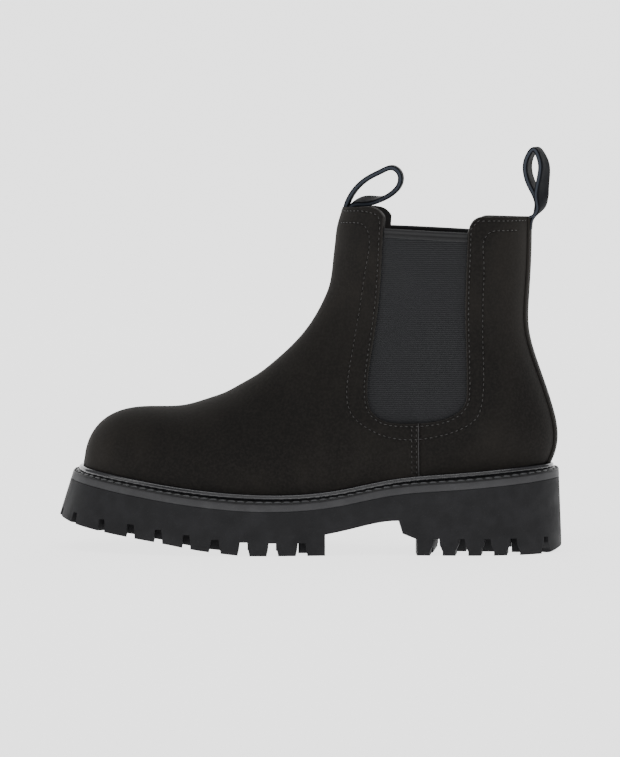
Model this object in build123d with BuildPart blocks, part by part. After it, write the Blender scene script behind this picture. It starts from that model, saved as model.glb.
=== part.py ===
from build123d import *
import math
import os

# Left chelsea boot, EU 40, millimetres.
# Toe to -X, heel to +X, outer side of the foot to -Y, +Z up, floor at Z = 0.
# The origin is the middle of the boot's footprint.

# ---------------------------------------------------------------- driving dimensions
LEATHER = 1.8             # nubuck thickness
MIDDLE = 1.2              # puff, counter, elastic and interlining layer
LINING = 1.0              # lining leather
STRIP = 1.5               # back strip, laid over the back seam
MIDSOLE = 4.3             # pale rubber layer
WELT = 1.5                # flat stitched ledge
BEAD = 2.6                # rounded rim of the welt, both ways
WELT_IN = -15.0           # the welt reaches this far in from the sole's edge
THREAD_IN = -1.3          # its stitching lies this far in
THREAD_WIDE = 0.8
INSOLE = 2.4              # board that the upper is lasted to
FOOTBED = 4.0             # cushioned sock
LUG = 7.3                 # tread depth under the forefoot
HEEL_LUG = 9.6            # and under the heel
LUG_DEEP = 17.0           # how far an edge lug reaches inwards
FORE_CHANNEL = (4.3, 6.8) # width of a groove at its root and at the floor
TOE_CHANNEL = (3.6, 4.8)
HEEL_CHANNEL = (3.4, 7.4)
FORE_PITCH = 16.6         # spacing of the forefoot grooves
HEEL_PITCH = 14.7         # spacing of the heel grooves
FORE_END = 8.7            # the forefoot tread ends here, on the middle line
TOE_SOLID = -46.0         # no recess in the tread's middle in front of this
STRAP_WIDE = 14.0         # pull loops
STRAP_THICK = 2.6
WIDE = 90.0               # half width of every cutting block
FAR = 200.0               # cutting blocks end here, past the toe and the heel
TOP = 260.0               # and here, above the loops

# Top edge of the dark outsole, the line that every layer above it follows: (x, z).
SOLE_LINE = [(-160, 43.0), (-120, 36.8), (-80, 30.4), (-40, 26.0), (-12, 25.2), (20, 28.0),
             (50, 34.0), (85, 37.3), (120, 40.4), (155, 44.0)]

# Underside of the forefoot, from the toe back to where it lies on the floor: (x, z).
ROCKER = [(-160, 24.0), (-140, 17.0), (-120, 12.8), (-98, 9.3), (-80, 6.5), (-60, 3.0),
          (-42, 0.9), (-26, 0.0)]

# Plan of the sole at Z = 50, and how far it has spread outwards at Z = 0: (x, y, flare).
SOLE_PLAN = [(-137.6, 5, 15.6), (-133.5, -13, 14), (-119, -31, 10), (-95, -43, 7),
             (-60, -49.5, 4.7), (-25, -49.5, 4.2), (10, -43.5, 3.5), (45, -39, 3),
             (85, -38, 2.5), (115, -34, 2), (136, -21, 1.5), (145, 0, 2.0),
             (136, 20, 1.5), (115, 31.5, 2), (85, 34.5, 2.5), (45, 33.5, 3),
             (10, 38, 3.5), (-25, 44.5, 4.5), (-60, 49, 5.4), (-95, 46.5, 7),
             (-119, 38, 10), (-133, 23, 14)]
PLAN_TOP = 50.0

# Ribs of the last, from the toe to the collar.  Each is a closed section in a plane that
# stands along Y: its crest (x, z), its foot (x, z), the half widths to the outer and the
# inner side, the height of the widest place as a part of the section, and how square the
# upper and the lower half are.
RIBS = [
    ((-132.2, 53.0), (-132.2, 41.0), -5.0, 11.0, 0.50, 0.56, 0.56),
    ((-130.9, 60.0), (-130.9, 34.0), -10.5, 16.5, 0.50, 0.58, 0.56),
    ((-127.9, 66.8), (-127.7, 29.5), -17.5, 22.5, 0.48, 0.58, 0.56),
    ((-122.6, 73.4), (-122.0, 26.0), -24.0, 28.5, 0.45, 0.58, 0.56),
    ((-113.8, 78.9), (-113.0, 23.5), -31.0, 34.5, 0.44, 0.57, 0.56),
    ((-98.4, 82.2), (-98.0, 20.0), -37.8, 39.8, 0.43, 0.56, 0.56),
    ((-77.4, 82.8), (-78.0, 17.0), -43.0, 43.0, 0.42, 0.55, 0.56),
    ((-58.5, 87.5), (-57.0, 14.0), -45.5, 43.5, 0.41, 0.52, 0.56),
    ((-37.5, 97.2), (-32.0, 12.0), -45.5, 41.5, 0.38, 0.48, 0.56),
    ((-19.5, 110.2), (-3.0, 11.0), -43.5, 38.5, 0.36, 0.45, 0.56),
    ((-5.5, 123.7), (27.0, 14.0), -40.5, 35.0, 0.36, 0.45, 0.56),
    ((3.6, 136.8), (62.0, 20.0), -37.5, 33.0, 0.38, 0.46, 0.56),
    ((8.4, 146.2), (98.0, 26.0), -35.5, 32.0, 0.42, 0.48, 0.58),
    ((11.0, 152.5), (128.0, 38.0), -34.8, 32.0, 0.46, 0.50, 0.62),
    ((12.4, 158.4), (139.6, 56.0), -34.0, 32.0, 0.48, 0.52, 0.60),
    ((13.2, 164.5), (141.0, 72.0), -33.4, 32.0, 0.50, 0.53, 0.58),
    ((13.9, 171.5), (137.4, 91.0), -32.8, 31.8, 0.50, 0.54, 0.57),
    ((14.8, 179.5), (131.0, 110.0), -32.6, 31.8, 0.50, 0.55, 0.56),
    ((15.8, 187.5), (126.2, 128.0), -33.0, 32.2, 0.50, 0.56, 0.56),
    ((18.4, 196.8), (126.0, 146.0), -33.4, 32.8, 0.50, 0.56, 0.56),
    ((21.0, 206.0), (127.2, 168.0), -33.8, 33.4, 0.50, 0.56, 0.56),
    ((23.5, 216.0), (127.6, 192.0), -34.0, 33.8, 0.50, 0.56, 0.56),
    ((26.0, 228.0), (127.4, 216.0), -34.2, 34.0, 0.50, 0.56, 0.56),
]

SHAFT_RIB = 15            # the foot's loft ends here and the shaft's begins

# Collar line, from the front to the back, with the radius of each inner corner.
COLLAR = [(-20, 197.9), (44.9, 200.4), (45.6, 187.2), (95.0, 184.6), (95.5, 194.6), (160, 193.6)]
COLLAR_RADII = [8.0, 0.8, 0.8, 8.0]

# Elastic window, down its front edge, round and up its rear edge: (x, z).
GORE = [(45.2, 210), (43.9, 184), (41.9, 149.7), (38.6, 122.2), (36.4, 105.6),
        (35.9, 92.3), (38.2, 83.0), (44.5, 77.6), (56, 75.6), (75, 76.6), (86, 80.2),
        (92.0, 86.0), (93.6, 96.0), (93.2, 117), (92.6, 139), (93.6, 172), (94.6, 210)]
GORE_TUCK = 9.0           # how far the elastic runs on behind the leather
SEAM_X = 66.0             # short side seam under the window
GORE_TOP = [(20, 187.9), (110, 183.3)]      # top edge of the elastic: (x, z)
BIND_TALL = 5.0           # tape over the top edge of the elastic
BIND_THICK = 0.7

# Stiffeners.
PUFF_X = -80.0            # the toe puff ends here
COUNTER = [(90, 20), (90, 70), (103, 98), (160, 102), (160, 20)]
LAYER_SPLIT = 93.0        # the front and the rear interlining meet here
POCKET_LOW = 176.0        # the front strap's tail reaches down to here
SHANK = ((-5, -7, 0), (96, 7, 80))          # steel under the arch, corner to corner
RIVETS = [(6, 0), (86, 0)]
RIVET_RADIUS = 2.2

# Pull loops: centre line of each strap, from where it leaves the collar and back to it.
FRONT_LOOP = [(21.6, 200.5), (24.4, 206.3), (29.2, 212.2), (35.2, 216.6), (42.0, 220.0),
              (48.2, 221.9), (51.6, 219.8), (53.0, 215.4), (51.4, 210.6), (47.8, 207.0),
              (43.4, 204.6), (38.0, 203.6), (31.0, 203.5), (25.6, 201.8)]
BACK_LOOP = [(1.2, 196.0), (1.9, 199.7), (2.4, 204.0), (0.2, 211.0), (-2.3, 217.5),
             (-2.9, 223.5), (-1.2, 229.4), (1.9, 232.9), (5.0, 229.4), (6.6, 223.0),
             (6.3, 215.5), (6.0, 208.5), (6.6, 203.4), (6.2, 199.4), (4.2, 196.4)]
BACK_LOOP_X = 129.2       # where the back loop's own plane stands
BACK_LOOP_TURN = 25.0     # the back loop is twisted this far about the vertical

# Tread.
HEEL_FRONT = 65.4         # heel block starts here at its corners
HEEL_HALF = 41.0          # half width of the heel there
HEEL_CROWN = 3.0          # and it is this much further forward in the middle
WAIST = [(0, 10.6), (13, 12.1), (30, 15.8), (43, 18.8), (54.7, 19.9)]
HEEL_NOSE = [(57.0, 12.6), (64.0, 9.8), (68.0, 8.8)]        # goes on from the waist: (x, z)
FORE_GROOVES = [-2.0 - FORE_PITCH * i for i in range(7)]
MEDIAL_SHIFT = -9.0       # the inner grooves lie this far in front of the outer ones
HEEL_GROOVES = [76.4 + HEEL_PITCH * i for i in range(4)]
SKEW = 5.0                # the forefoot grooves lean this far off square
TOE_CENTRE = (-97.0, 3.0)
TOE_REACH = (37.0, 33.0)  # the toe grooves start on this oval round the centre
TOE_FAN = [118, 143, 168, 194, 219, 246]
HEEL_CENTRE = (108.0, 0.0)
HEEL_REACH = 16.0
HEEL_FAN = [-33, 0, 33]


# ---------------------------------------------------------------- geometry helpers
def away(points, i, distance):
    """Point i of a line, moved to the left of the line's direction."""
    before = points[max(i - 1, 0)]
    after = points[min(i + 1, len(points) - 1)]
    dx = after[0] - before[0]
    dz = after[1] - before[1]
    length = math.hypot(dx, dz)
    return (points[i][0] - dz / length * distance, points[i][1] + dx / length * distance)


def rib_sketch(i, inset):
    """Section of the last at one rib, inset from the leather's outer face."""
    crests = [rib[0] for rib in RIBS]
    feet = [rib[1] for rib in RIBS]
    outer, inner, widest, top_full, low_full = RIBS[i][2:]
    crest = away(crests, i, -inset)
    foot = away(feet, i, inset)
    j = max(i - 1, 0)
    k = min(i + 1, len(RIBS) - 1)
    run = math.dist(crests[j], crests[k]) + math.dist(feet[j], feet[k])
    spread = (RIBS[k][3] - RIBS[k][2]) - (RIBS[j][3] - RIBS[j][2])
    facing = run / math.hypot(run, spread)
    left = outer + inset * facing
    right = inner - inset * facing
    tall = math.dist(crest, foot)
    rise = ((crest[0] - foot[0]) / tall, (crest[1] - foot[1]) / tall)
    rib_plane = Plane(origin=(foot[0], 0, foot[1]), x_dir=(0, 1, 0),
                      z_dir=(rise[1], 0, -rise[0]))
    middle = (left + right) / 2
    level = widest * tall
    up = (tall - level) * top_full
    down = level * low_full
    with BuildSketch(rib_plane, mode=Mode.PRIVATE) as section:
        with BuildLine():
            Bezier((middle, tall), (middle + (left - middle) * top_full, tall),
                   (left, level + up), (left, level))
            Bezier((left, level), (left, level - down),
                   (middle + (left - middle) * low_full, 0), (middle, 0))
            Bezier((middle, 0), (middle + (right - middle) * low_full, 0),
                   (right, level - down), (right, level))
            Bezier((right, level), (right, level + up),
                   (middle + (right - middle) * top_full, tall), (middle, tall))
        make_face()
    return section.sketch


def last_form(inset):
    """Solid of the foot shape: one loft for the foot, one for the shaft."""
    with BuildPart(mode=Mode.PRIVATE) as form:
        loft([rib_sketch(i, inset) for i in range(SHAFT_RIB + 1)])
        loft([rib_sketch(i, inset) for i in range(SHAFT_RIB, len(RIBS))])
    return form.part


def layer(low, high):
    """Block between two heights above the sole line."""
    lower = [(x, z + low) for x, z in SOLE_LINE]
    upper = [(x, z + high) for x, z in reversed(SOLE_LINE)]
    with BuildPart(mode=Mode.PRIVATE) as slab:
        with BuildSketch(Plane.XZ):
            with BuildLine():
                Spline(*lower)
                Line(lower[-1], upper[0])
                Spline(*upper)
                Line(upper[-1], lower[0])
            make_face()
        extrude(amount=WIDE, both=True)
    return slab.part


def plan_points(grow, height):
    """Points of the sole's outline at a height, moved outwards."""
    count = len(SOLE_PLAN)
    moved = []
    for i, (x, y, flare) in enumerate(SOLE_PLAN):
        before = SOLE_PLAN[i - 1]
        after = SOLE_PLAN[(i + 1) % count]
        dx = after[0] - before[0]
        dy = after[1] - before[1]
        length = math.hypot(dx, dy)
        out = grow + flare * (1 - height / PLAN_TOP)
        moved.append((x + dy / length * out, y - dx / length * out))
    return moved


def sole_block(grow=0.0):
    """Flared block with the plan of the sole, 60 mm tall."""
    with BuildPart(mode=Mode.PRIVATE) as flared:
        for height in (-2.0, 60.0):
            with BuildSketch(Plane.XY.offset(height)):
                with BuildLine():
                    Spline(*plan_points(grow, height), periodic=True)
                make_face()
        loft()
    return flared.part


def side_prism(outline, low=-WIDE, high=WIDE):
    """Prism across the boot, between two Y values, of a closed side-view face."""
    with BuildPart(mode=Mode.PRIVATE) as prism:
        with BuildSketch(Plane.XZ.offset(-low)):
            add(outline)
        extrude(amount=low - high)
    return prism.part


def window_face(grow=0.0):
    """Side view of the elastic window, or of a larger one."""
    edge = [away(GORE, i, -grow) for i in range(len(GORE))]
    with BuildSketch(mode=Mode.PRIVATE) as face:
        with BuildLine():
            Spline(*edge)
            Line(edge[-1], edge[0])
        make_face()
    return face.sketch


def collar_face():
    """Side view of everything below the collar line."""
    with BuildSketch(mode=Mode.PRIVATE) as face:
        with BuildLine():
            FilletPolyline(*COLLAR, radius=COLLAR_RADII)
            Polyline(COLLAR[-1], (160, -10), (-160, -10), (-160, COLLAR[0][1]), COLLAR[0])
        make_face()
    return face.sketch


def block(low, high):
    """Box between two opposite corners."""
    size = [b - a for a, b in zip(low, high)]
    centre = [(a + b) / 2 for a, b in zip(low, high)]
    return Pos(*centre) * Box(*size, mode=Mode.PRIVATE)


def polygon_face(points):
    """Closed side-view polygon."""
    with BuildSketch(mode=Mode.PRIVATE) as face:
        with BuildLine():
            Polyline(*points, close=True)
        make_face()
    return face.sketch


def strap_face(points):
    """Side view of a strap that follows a smooth centre line."""
    places = range(len(points))
    outer = [away(points, i, STRAP_THICK / 2) for i in places]
    inner = [away(points, i, -STRAP_THICK / 2) for i in reversed(places)]
    with BuildSketch(mode=Mode.PRIVATE) as face:
        with BuildLine():
            Spline(*outer)
            Line(outer[-1], inner[0])
            Spline(*inner)
            Line(inner[-1], outer[0])
        make_face()
    return face.sketch


def rocker_height(x):
    """Height of the tread's underside at a place along the forefoot."""
    for (x0, z0), (x1, z1) in zip(ROCKER, ROCKER[1:]):
        if x <= x1:
            return z0 + (z1 - z0) * (x - x0) / (x1 - x0)
    return 0.0


def groove(x, y, turn, root, channel):
    """Tapered cutter along a groove, from a point outwards, cut up to a height."""
    top = channel[0] / 2
    waist = top * 1.2
    foot = channel[1] / 2
    angle = math.radians(turn)
    start = Plane(origin=(x, y, root), x_dir=(-math.sin(angle), math.cos(angle), 0),
                  z_dir=(math.cos(angle), math.sin(angle), 0))
    with BuildPart(mode=Mode.PRIVATE) as cutter:
        with BuildSketch(start):
            with BuildLine():
                Polyline((-top, 0), (top, 0), (waist, -LUG / 2), (foot, -LUG), (foot, -40),
                         (-foot, -40), (-foot, -LUG), (-waist, -LUG / 2), close=True)
            make_face()
        extrude(amount=70)
    return cutter.part


def edge_y(x, side):
    """Y of the sole's edge at an X, for side -1 (outer) or +1 (inner)."""
    row = sorted((px, py) for px, py, _ in SOLE_PLAN if py * side > 0)
    for (x0, y0), (x1, y1) in zip(row, row[1:]):
        if x <= x1:
            return y0 + (y1 - y0) * (x - x0) / (x1 - x0)
    return row[-1][1]


def under(points, corners=(), deep=-10.0):
    """Block below a smooth side-view line that may go on through sharp corners."""
    path = [points[-1], *corners]
    with BuildPart(mode=Mode.PRIVATE) as slab:
        with BuildSketch(Plane.XZ):
            with BuildLine():
                Spline(*points)
                Polyline(*path, (path[-1][0], deep), (points[0][0], deep), points[0])
            make_face()
        extrude(amount=WIDE, both=True)
    return slab.part


os.makedirs("parts", exist_ok=True)

# ---------------------------------------------------------------- the foot shape, layer by layer
FEATHER = MIDSOLE + WELT                   # the upper stands on the welt here
outer_form = last_form(0)
middle_form = last_form(LEATHER)
lining_form = last_form(LEATHER + MIDDLE)
foot_form = last_form(LEATHER + MIDDLE + LINING)
below_collar = side_prism(collar_face())
upper_zone = layer(FEATHER, TOP) & below_collar
window = side_prism(window_face())
gore_top = polygon_face(GORE_TOP + [(110, 20), (20, 20)])
gore_zone = side_prism(window_face(GORE_TUCK)) & side_prism(gore_top)

# ---------------------------------------------------------------- outer leather
with BuildPart() as leather:
    add(outer_form)
    add(middle_form, mode=Mode.SUBTRACT)
    add(upper_zone, mode=Mode.INTERSECT)
    add(window, mode=Mode.SUBTRACT)

with BuildPart() as vamp:
    add(leather.part)
    add(block((SEAM_X, -WIDE, -5), (FAR, WIDE, TOP)), mode=Mode.SUBTRACT)
vamp.part.label = "vamp"
export_step(vamp.part, "parts/vamp.step")

with BuildPart() as quarter_lateral:
    add(leather.part)
    add(block((SEAM_X, -WIDE, -5), (FAR, 0, TOP)), mode=Mode.INTERSECT)
quarter_lateral.part.label = "quarter_lateral"
export_step(quarter_lateral.part, "parts/quarter_lateral.step")

with BuildPart() as quarter_medial:
    add(leather.part)
    add(block((SEAM_X, 0, -5), (FAR, WIDE, TOP)), mode=Mode.INTERSECT)
quarter_medial.part.label = "quarter_medial"
export_step(quarter_medial.part, "parts/quarter_medial.step")

# ---------------------------------------------------------------- stiffening layer
puff_block = block((-FAR, -WIDE, -5), (PUFF_X, WIDE, TOP))
counter_prism = side_prism(polygon_face(COUNTER))
front_pocket = block((0, -STRAP_WIDE / 2, POCKET_LOW), (60, STRAP_WIDE / 2, TOP))

with BuildPart() as middle_layer:
    add(middle_form)
    add(lining_form, mode=Mode.SUBTRACT)
    add(upper_zone, mode=Mode.INTERSECT)

with BuildPart() as toe_puff:
    add(middle_layer.part)
    add(puff_block, mode=Mode.INTERSECT)
toe_puff.part.label = "toe_puff"
export_step(toe_puff.part, "parts/toe_puff.step")

with BuildPart() as heel_counter:
    add(middle_layer.part)
    add(counter_prism, mode=Mode.INTERSECT)
    add(gore_zone, mode=Mode.SUBTRACT)
heel_counter.part.label = "heel_counter"
export_step(heel_counter.part, "parts/heel_counter.step")

with BuildPart() as gore_lateral:
    add(middle_layer.part)
    add(gore_zone, mode=Mode.INTERSECT)
    add(block((0, -WIDE, 0), (FAR, 0, TOP)), mode=Mode.INTERSECT)
gore_lateral.part.label = "gore_lateral"
export_step(gore_lateral.part, "parts/gore_lateral.step")

with BuildPart() as gore_medial:
    add(middle_layer.part)
    add(gore_zone, mode=Mode.INTERSECT)
    add(block((0, 0, 0), (FAR, WIDE, TOP)), mode=Mode.INTERSECT)
gore_medial.part.label = "gore_medial"
export_step(gore_medial.part, "parts/gore_medial.step")

with BuildPart() as front_strap_tail:
    add(middle_layer.part)
    add(front_pocket, mode=Mode.INTERSECT)
front_strap_tail.part.label = "front_strap_tail"
export_step(front_strap_tail.part, "parts/front_strap_tail.step")

with BuildPart() as interlining:
    add(middle_layer.part)
    add(puff_block, mode=Mode.SUBTRACT)
    add(counter_prism, mode=Mode.SUBTRACT)
    add(gore_zone, mode=Mode.SUBTRACT)
    add(window, mode=Mode.SUBTRACT)
    add(front_pocket, mode=Mode.SUBTRACT)

with BuildPart() as vamp_interlining:
    add(interlining.part)
    add(block((-FAR, -WIDE, -5), (LAYER_SPLIT, WIDE, TOP)), mode=Mode.INTERSECT)
vamp_interlining.part.label = "vamp_interlining"
export_step(vamp_interlining.part, "parts/vamp_interlining.step")

with BuildPart() as quarter_interlining:
    add(interlining.part)
    add(block((LAYER_SPLIT, -WIDE, -5), (FAR, WIDE, TOP)), mode=Mode.INTERSECT)
quarter_interlining.part.label = "quarter_interlining"
export_step(quarter_interlining.part, "parts/quarter_interlining.step")

# ---------------------------------------------------------------- lining
with BuildPart() as lining:
    add(lining_form)
    add(foot_form, mode=Mode.SUBTRACT)
    add(upper_zone, mode=Mode.INTERSECT)
    add(window, mode=Mode.SUBTRACT)

with BuildPart() as vamp_lining:
    add(lining.part)
    add(block((SEAM_X, -WIDE, -5), (FAR, WIDE, TOP)), mode=Mode.SUBTRACT)
vamp_lining.part.label = "vamp_lining"
export_step(vamp_lining.part, "parts/vamp_lining.step")

with BuildPart() as quarter_lining:
    add(lining.part)
    add(block((SEAM_X, -WIDE, -5), (FAR, WIDE, TOP)), mode=Mode.INTERSECT)
quarter_lining.part.label = "quarter_lining"
export_step(quarter_lining.part, "parts/quarter_lining.step")

# ---------------------------------------------------------------- tape over the elastic's edge
tape_out = last_form(LEATHER - BIND_THICK)
tape_in = last_form(LEATHER + MIDDLE + BIND_THICK)
tape_high = [(x, z + BIND_THICK) for x, z in GORE_TOP]
tape_low = [(x, z - BIND_TALL) for x, z in reversed(tape_high)]
tape_zone = side_prism(polygon_face(tape_high + tape_low)) & window

with BuildPart() as gore_tapes:
    add(tape_out)
    add(tape_in, mode=Mode.SUBTRACT)
    add(tape_zone, mode=Mode.INTERSECT)
    add(gore_zone & middle_layer.part, mode=Mode.SUBTRACT)

with BuildPart() as gore_binding_lateral:
    add(gore_tapes.part)
    add(block((0, -WIDE, 0), (FAR, 0, TOP)), mode=Mode.INTERSECT)
gore_binding_lateral.part.label = "gore_binding_lateral"
export_step(gore_binding_lateral.part, "parts/gore_binding_lateral.step")

with BuildPart() as gore_binding_medial:
    add(gore_tapes.part)
    add(block((0, 0, 0), (FAR, WIDE, TOP)), mode=Mode.INTERSECT)
gore_binding_medial.part.label = "gore_binding_medial"
export_step(gore_binding_medial.part, "parts/gore_binding_medial.step")

# ---------------------------------------------------------------- back strip
strip_form = last_form(-STRIP)
strip_zone = layer(FEATHER + BEAD, TOP) & below_collar

with BuildPart() as back_strip:
    add(strip_form)
    add(outer_form, mode=Mode.SUBTRACT)
    add(strip_zone, mode=Mode.INTERSECT)
    add(block((80, -STRAP_WIDE / 2, 0), (FAR, STRAP_WIDE / 2, TOP)), mode=Mode.INTERSECT)
back_strip.part.label = "back_strip"
export_step(back_strip.part, "parts/back_strip.step")

# ---------------------------------------------------------------- inside, under the foot
board_zone = layer(FEATHER, FEATHER + INSOLE)
shank_block = block(*SHANK)

with BuildPart() as shank_rivets:
    with Locations(*[(x, y, 0) for x, y in RIVETS]):
        Cylinder(radius=RIVET_RADIUS, height=SHANK[1][2],
                 align=(Align.CENTER, Align.CENTER, Align.MIN))
    add(layer(MIDSOLE, FEATHER + INSOLE / 2), mode=Mode.INTERSECT)
shank_rivets.part.label = "shank_rivets"
export_step(shank_rivets.part, "parts/shank_rivets.step")

with BuildPart() as shank:
    add(layer(MIDSOLE, FEATHER))
    add(shank_block, mode=Mode.INTERSECT)
    add(shank_rivets.part, mode=Mode.SUBTRACT)
shank.part.label = "shank"
export_step(shank.part, "parts/shank.step")

with BuildPart() as insole_board:
    add(foot_form)
    add(board_zone, mode=Mode.INTERSECT)
    add(shank_rivets.part, mode=Mode.SUBTRACT)
insole_board.part.label = "insole_board"
export_step(insole_board.part, "parts/insole_board.step")

with BuildPart() as footbed:
    add(foot_form)
    add(layer(FEATHER + INSOLE, FEATHER + INSOLE + FOOTBED), mode=Mode.INTERSECT)
footbed.part.label = "footbed"
export_step(footbed.part, "parts/footbed.step")

# ---------------------------------------------------------------- welt, its thread and the filler
bead_form = last_form(-BEAD)

with BuildPart() as welt_thread:
    add(sole_block(THREAD_IN))
    add(sole_block(THREAD_IN - THREAD_WIDE), mode=Mode.SUBTRACT)
    add(layer(FEATHER - 0.5, FEATHER + 0.2), mode=Mode.INTERSECT)
welt_thread.part.label = "welt_thread"
export_step(welt_thread.part, "parts/welt_thread.step")

with BuildPart() as bead_ring:
    add(bead_form)
    add(outer_form, mode=Mode.SUBTRACT)
    add(layer(FEATHER, FEATHER + BEAD), mode=Mode.INTERSECT)

with BuildPart() as welt:
    add(sole_block())
    add(sole_block(WELT_IN), mode=Mode.SUBTRACT)
    add(layer(MIDSOLE, FEATHER), mode=Mode.INTERSECT)
    add(bead_ring.part)
    add(welt_thread.part, mode=Mode.SUBTRACT)
welt.part.label = "welt"
export_step(welt.part, "parts/welt.step")

with BuildPart() as bottom_filler:
    add(sole_block(WELT_IN))
    add(layer(MIDSOLE, FEATHER), mode=Mode.INTERSECT)
    add(shank_block, mode=Mode.SUBTRACT)
bottom_filler.part.label = "bottom_filler"
export_step(bottom_filler.part, "parts/bottom_filler.step")

# ---------------------------------------------------------------- midsole
with BuildPart() as midsole:
    add(sole_block())
    add(layer(0, MIDSOLE), mode=Mode.INTERSECT)
midsole.part.label = "midsole"
export_step(midsole.part, "parts/midsole.step")

# ---------------------------------------------------------------- outsole
# Everything above the rocker line and the flat of the heel, below the midsole.
with BuildPart() as sole_body:
    with BuildSketch(Plane.XZ):
        with BuildLine():
            Spline(*ROCKER, tangents=[(6, -2), (1, 0)])
            Line(ROCKER[-1], (138, 0))
            Spline((138, 0), (144, 1.6), (150, 7), tangents=[(1, 0), (1, 2)])
            Line((150, 7), (155, SOLE_LINE[-1][1]))
            Spline(*reversed(SOLE_LINE))
            Line(SOLE_LINE[0], ROCKER[0])
        make_face()
    extrude(amount=WIDE, both=True)
    add(sole_block(), mode=Mode.INTERSECT)

# Hollow waist between the forefoot tread and the curved front of the heel.
lean = WIDE * math.tan(math.radians(SKEW))
with BuildPart() as waist_gap:
    with BuildSketch(Plane.XY.offset(-5)):
        with BuildLine():
            Polyline((HEEL_FRONT, -HEEL_HALF), (HEEL_FRONT, -WIDE), (FORE_END + lean, -WIDE),
                     (FORE_END - lean, WIDE), (HEEL_FRONT, WIDE), (HEEL_FRONT, HEEL_HALF))
            ThreePointArc((HEEL_FRONT, HEEL_HALF), (HEEL_FRONT - HEEL_CROWN, 0),
                          (HEEL_FRONT, -HEEL_HALF))
        make_face()
    extrude(amount=60)
    add(under(WAIST, HEEL_NOSE), mode=Mode.INTERSECT)

# Recess inside the ring of edge lugs, less the blocks that stand in its middle.
with BuildPart() as fore_recess:
    with BuildSketch(Plane.XY.offset(-5)):
        with BuildLine():
            Spline(*plan_points(-LUG_DEEP, 0), periodic=True)
        make_face()
        with Locations((FORE_END, 0)):
            Rectangle(FORE_END - TOE_SOLID, FAR, rotation=SKEW,
                      align=(Align.MAX, Align.CENTER), mode=Mode.INTERSECT)
        for x in FORE_GROOVES[:2]:
            with Locations((x - FORE_PITCH / 2 - 4, 1)):
                Rectangle(FORE_PITCH - FORE_CHANNEL[0] - 1, 40, rotation=SKEW, mode=Mode.SUBTRACT)
    extrude(amount=60)
    add(under([(x, z + LUG) for x, z in ROCKER] + [(-10, LUG), (20, LUG)]), mode=Mode.INTERSECT)

with BuildPart() as heel_recess:
    with BuildSketch(Plane.XY.offset(-5)):
        with BuildLine():
            Spline(*plan_points(-LUG_DEEP, 0), periodic=True)
        make_face()
        with Locations((HEEL_FRONT + 8, 0)):
            Rectangle(FAR, FAR, align=(Align.MIN, Align.CENTER), mode=Mode.INTERSECT)
        with Locations((86, -1), (106, -1)):
            Rectangle(12, 26, mode=Mode.SUBTRACT)
    extrude(amount=5 + HEEL_LUG)

with BuildPart() as outsole:
    add(sole_body.part)
    add(waist_gap.part, mode=Mode.SUBTRACT)
    add(fore_recess.part, mode=Mode.SUBTRACT)
    add(heel_recess.part, mode=Mode.SUBTRACT)
    for i, row in enumerate(FORE_GROOVES):
        channel = FORE_CHANNEL if i < 4 else TOE_CHANNEL
        for side, x in ((-1, row), (1, row + MEDIAL_SHIFT)):
            y = edge_y(x, side) - side * (LUG_DEEP - 4)
            add(groove(x, y, side * 90 + SKEW, rocker_height(x) + LUG, channel),
                mode=Mode.SUBTRACT)
    for turn in TOE_FAN:
        x = TOE_CENTRE[0] + TOE_REACH[0] * math.cos(math.radians(turn))
        y = TOE_CENTRE[1] + TOE_REACH[1] * math.sin(math.radians(turn))
        add(groove(x, y, turn, rocker_height(x - 3) + LUG, TOE_CHANNEL), mode=Mode.SUBTRACT)
    for x in HEEL_GROOVES:
        for side in (-1, 1):
            y = edge_y(x, side) - side * (LUG_DEEP - 2)
            add(groove(x, y, side * 90, HEEL_LUG, HEEL_CHANNEL), mode=Mode.SUBTRACT)
    for turn in HEEL_FAN:
        x = HEEL_CENTRE[0] + HEEL_REACH * math.cos(math.radians(turn))
        y = HEEL_CENTRE[1] + HEEL_REACH * math.sin(math.radians(turn))
        add(groove(x, y, turn, HEEL_LUG, HEEL_CHANNEL), mode=Mode.SUBTRACT)
outsole.part.label = "outsole"
export_step(outsole.part, "parts/outsole.step")

# ---------------------------------------------------------------- pull loops
with BuildPart() as front_pull_loop:
    with BuildSketch(Plane.XZ):
        add(strap_face(FRONT_LOOP))
    extrude(amount=STRAP_WIDE / 2, both=True)
front_pull_loop.part.label = "front_pull_loop"
export_step(front_pull_loop.part, "parts/front_pull_loop.step")

twist = math.radians(BACK_LOOP_TURN)
twisted_plane = Plane(origin=(BACK_LOOP_X, 0, 0),
                      x_dir=(math.cos(twist), -math.sin(twist), 0),
                      z_dir=(-math.sin(twist), -math.cos(twist), 0))
with BuildPart() as back_pull_loop:
    with BuildSketch(twisted_plane):
        add(strap_face(BACK_LOOP))
    extrude(amount=STRAP_WIDE / 2, both=True)
back_pull_loop.part.label = "back_pull_loop"
export_step(back_pull_loop.part, "parts/back_pull_loop.step")
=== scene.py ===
import math
from contextlib import contextmanager

import bmesh
import bpy
import numpy as np
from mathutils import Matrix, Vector
from mathutils.bvhtree import BVHTree


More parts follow.
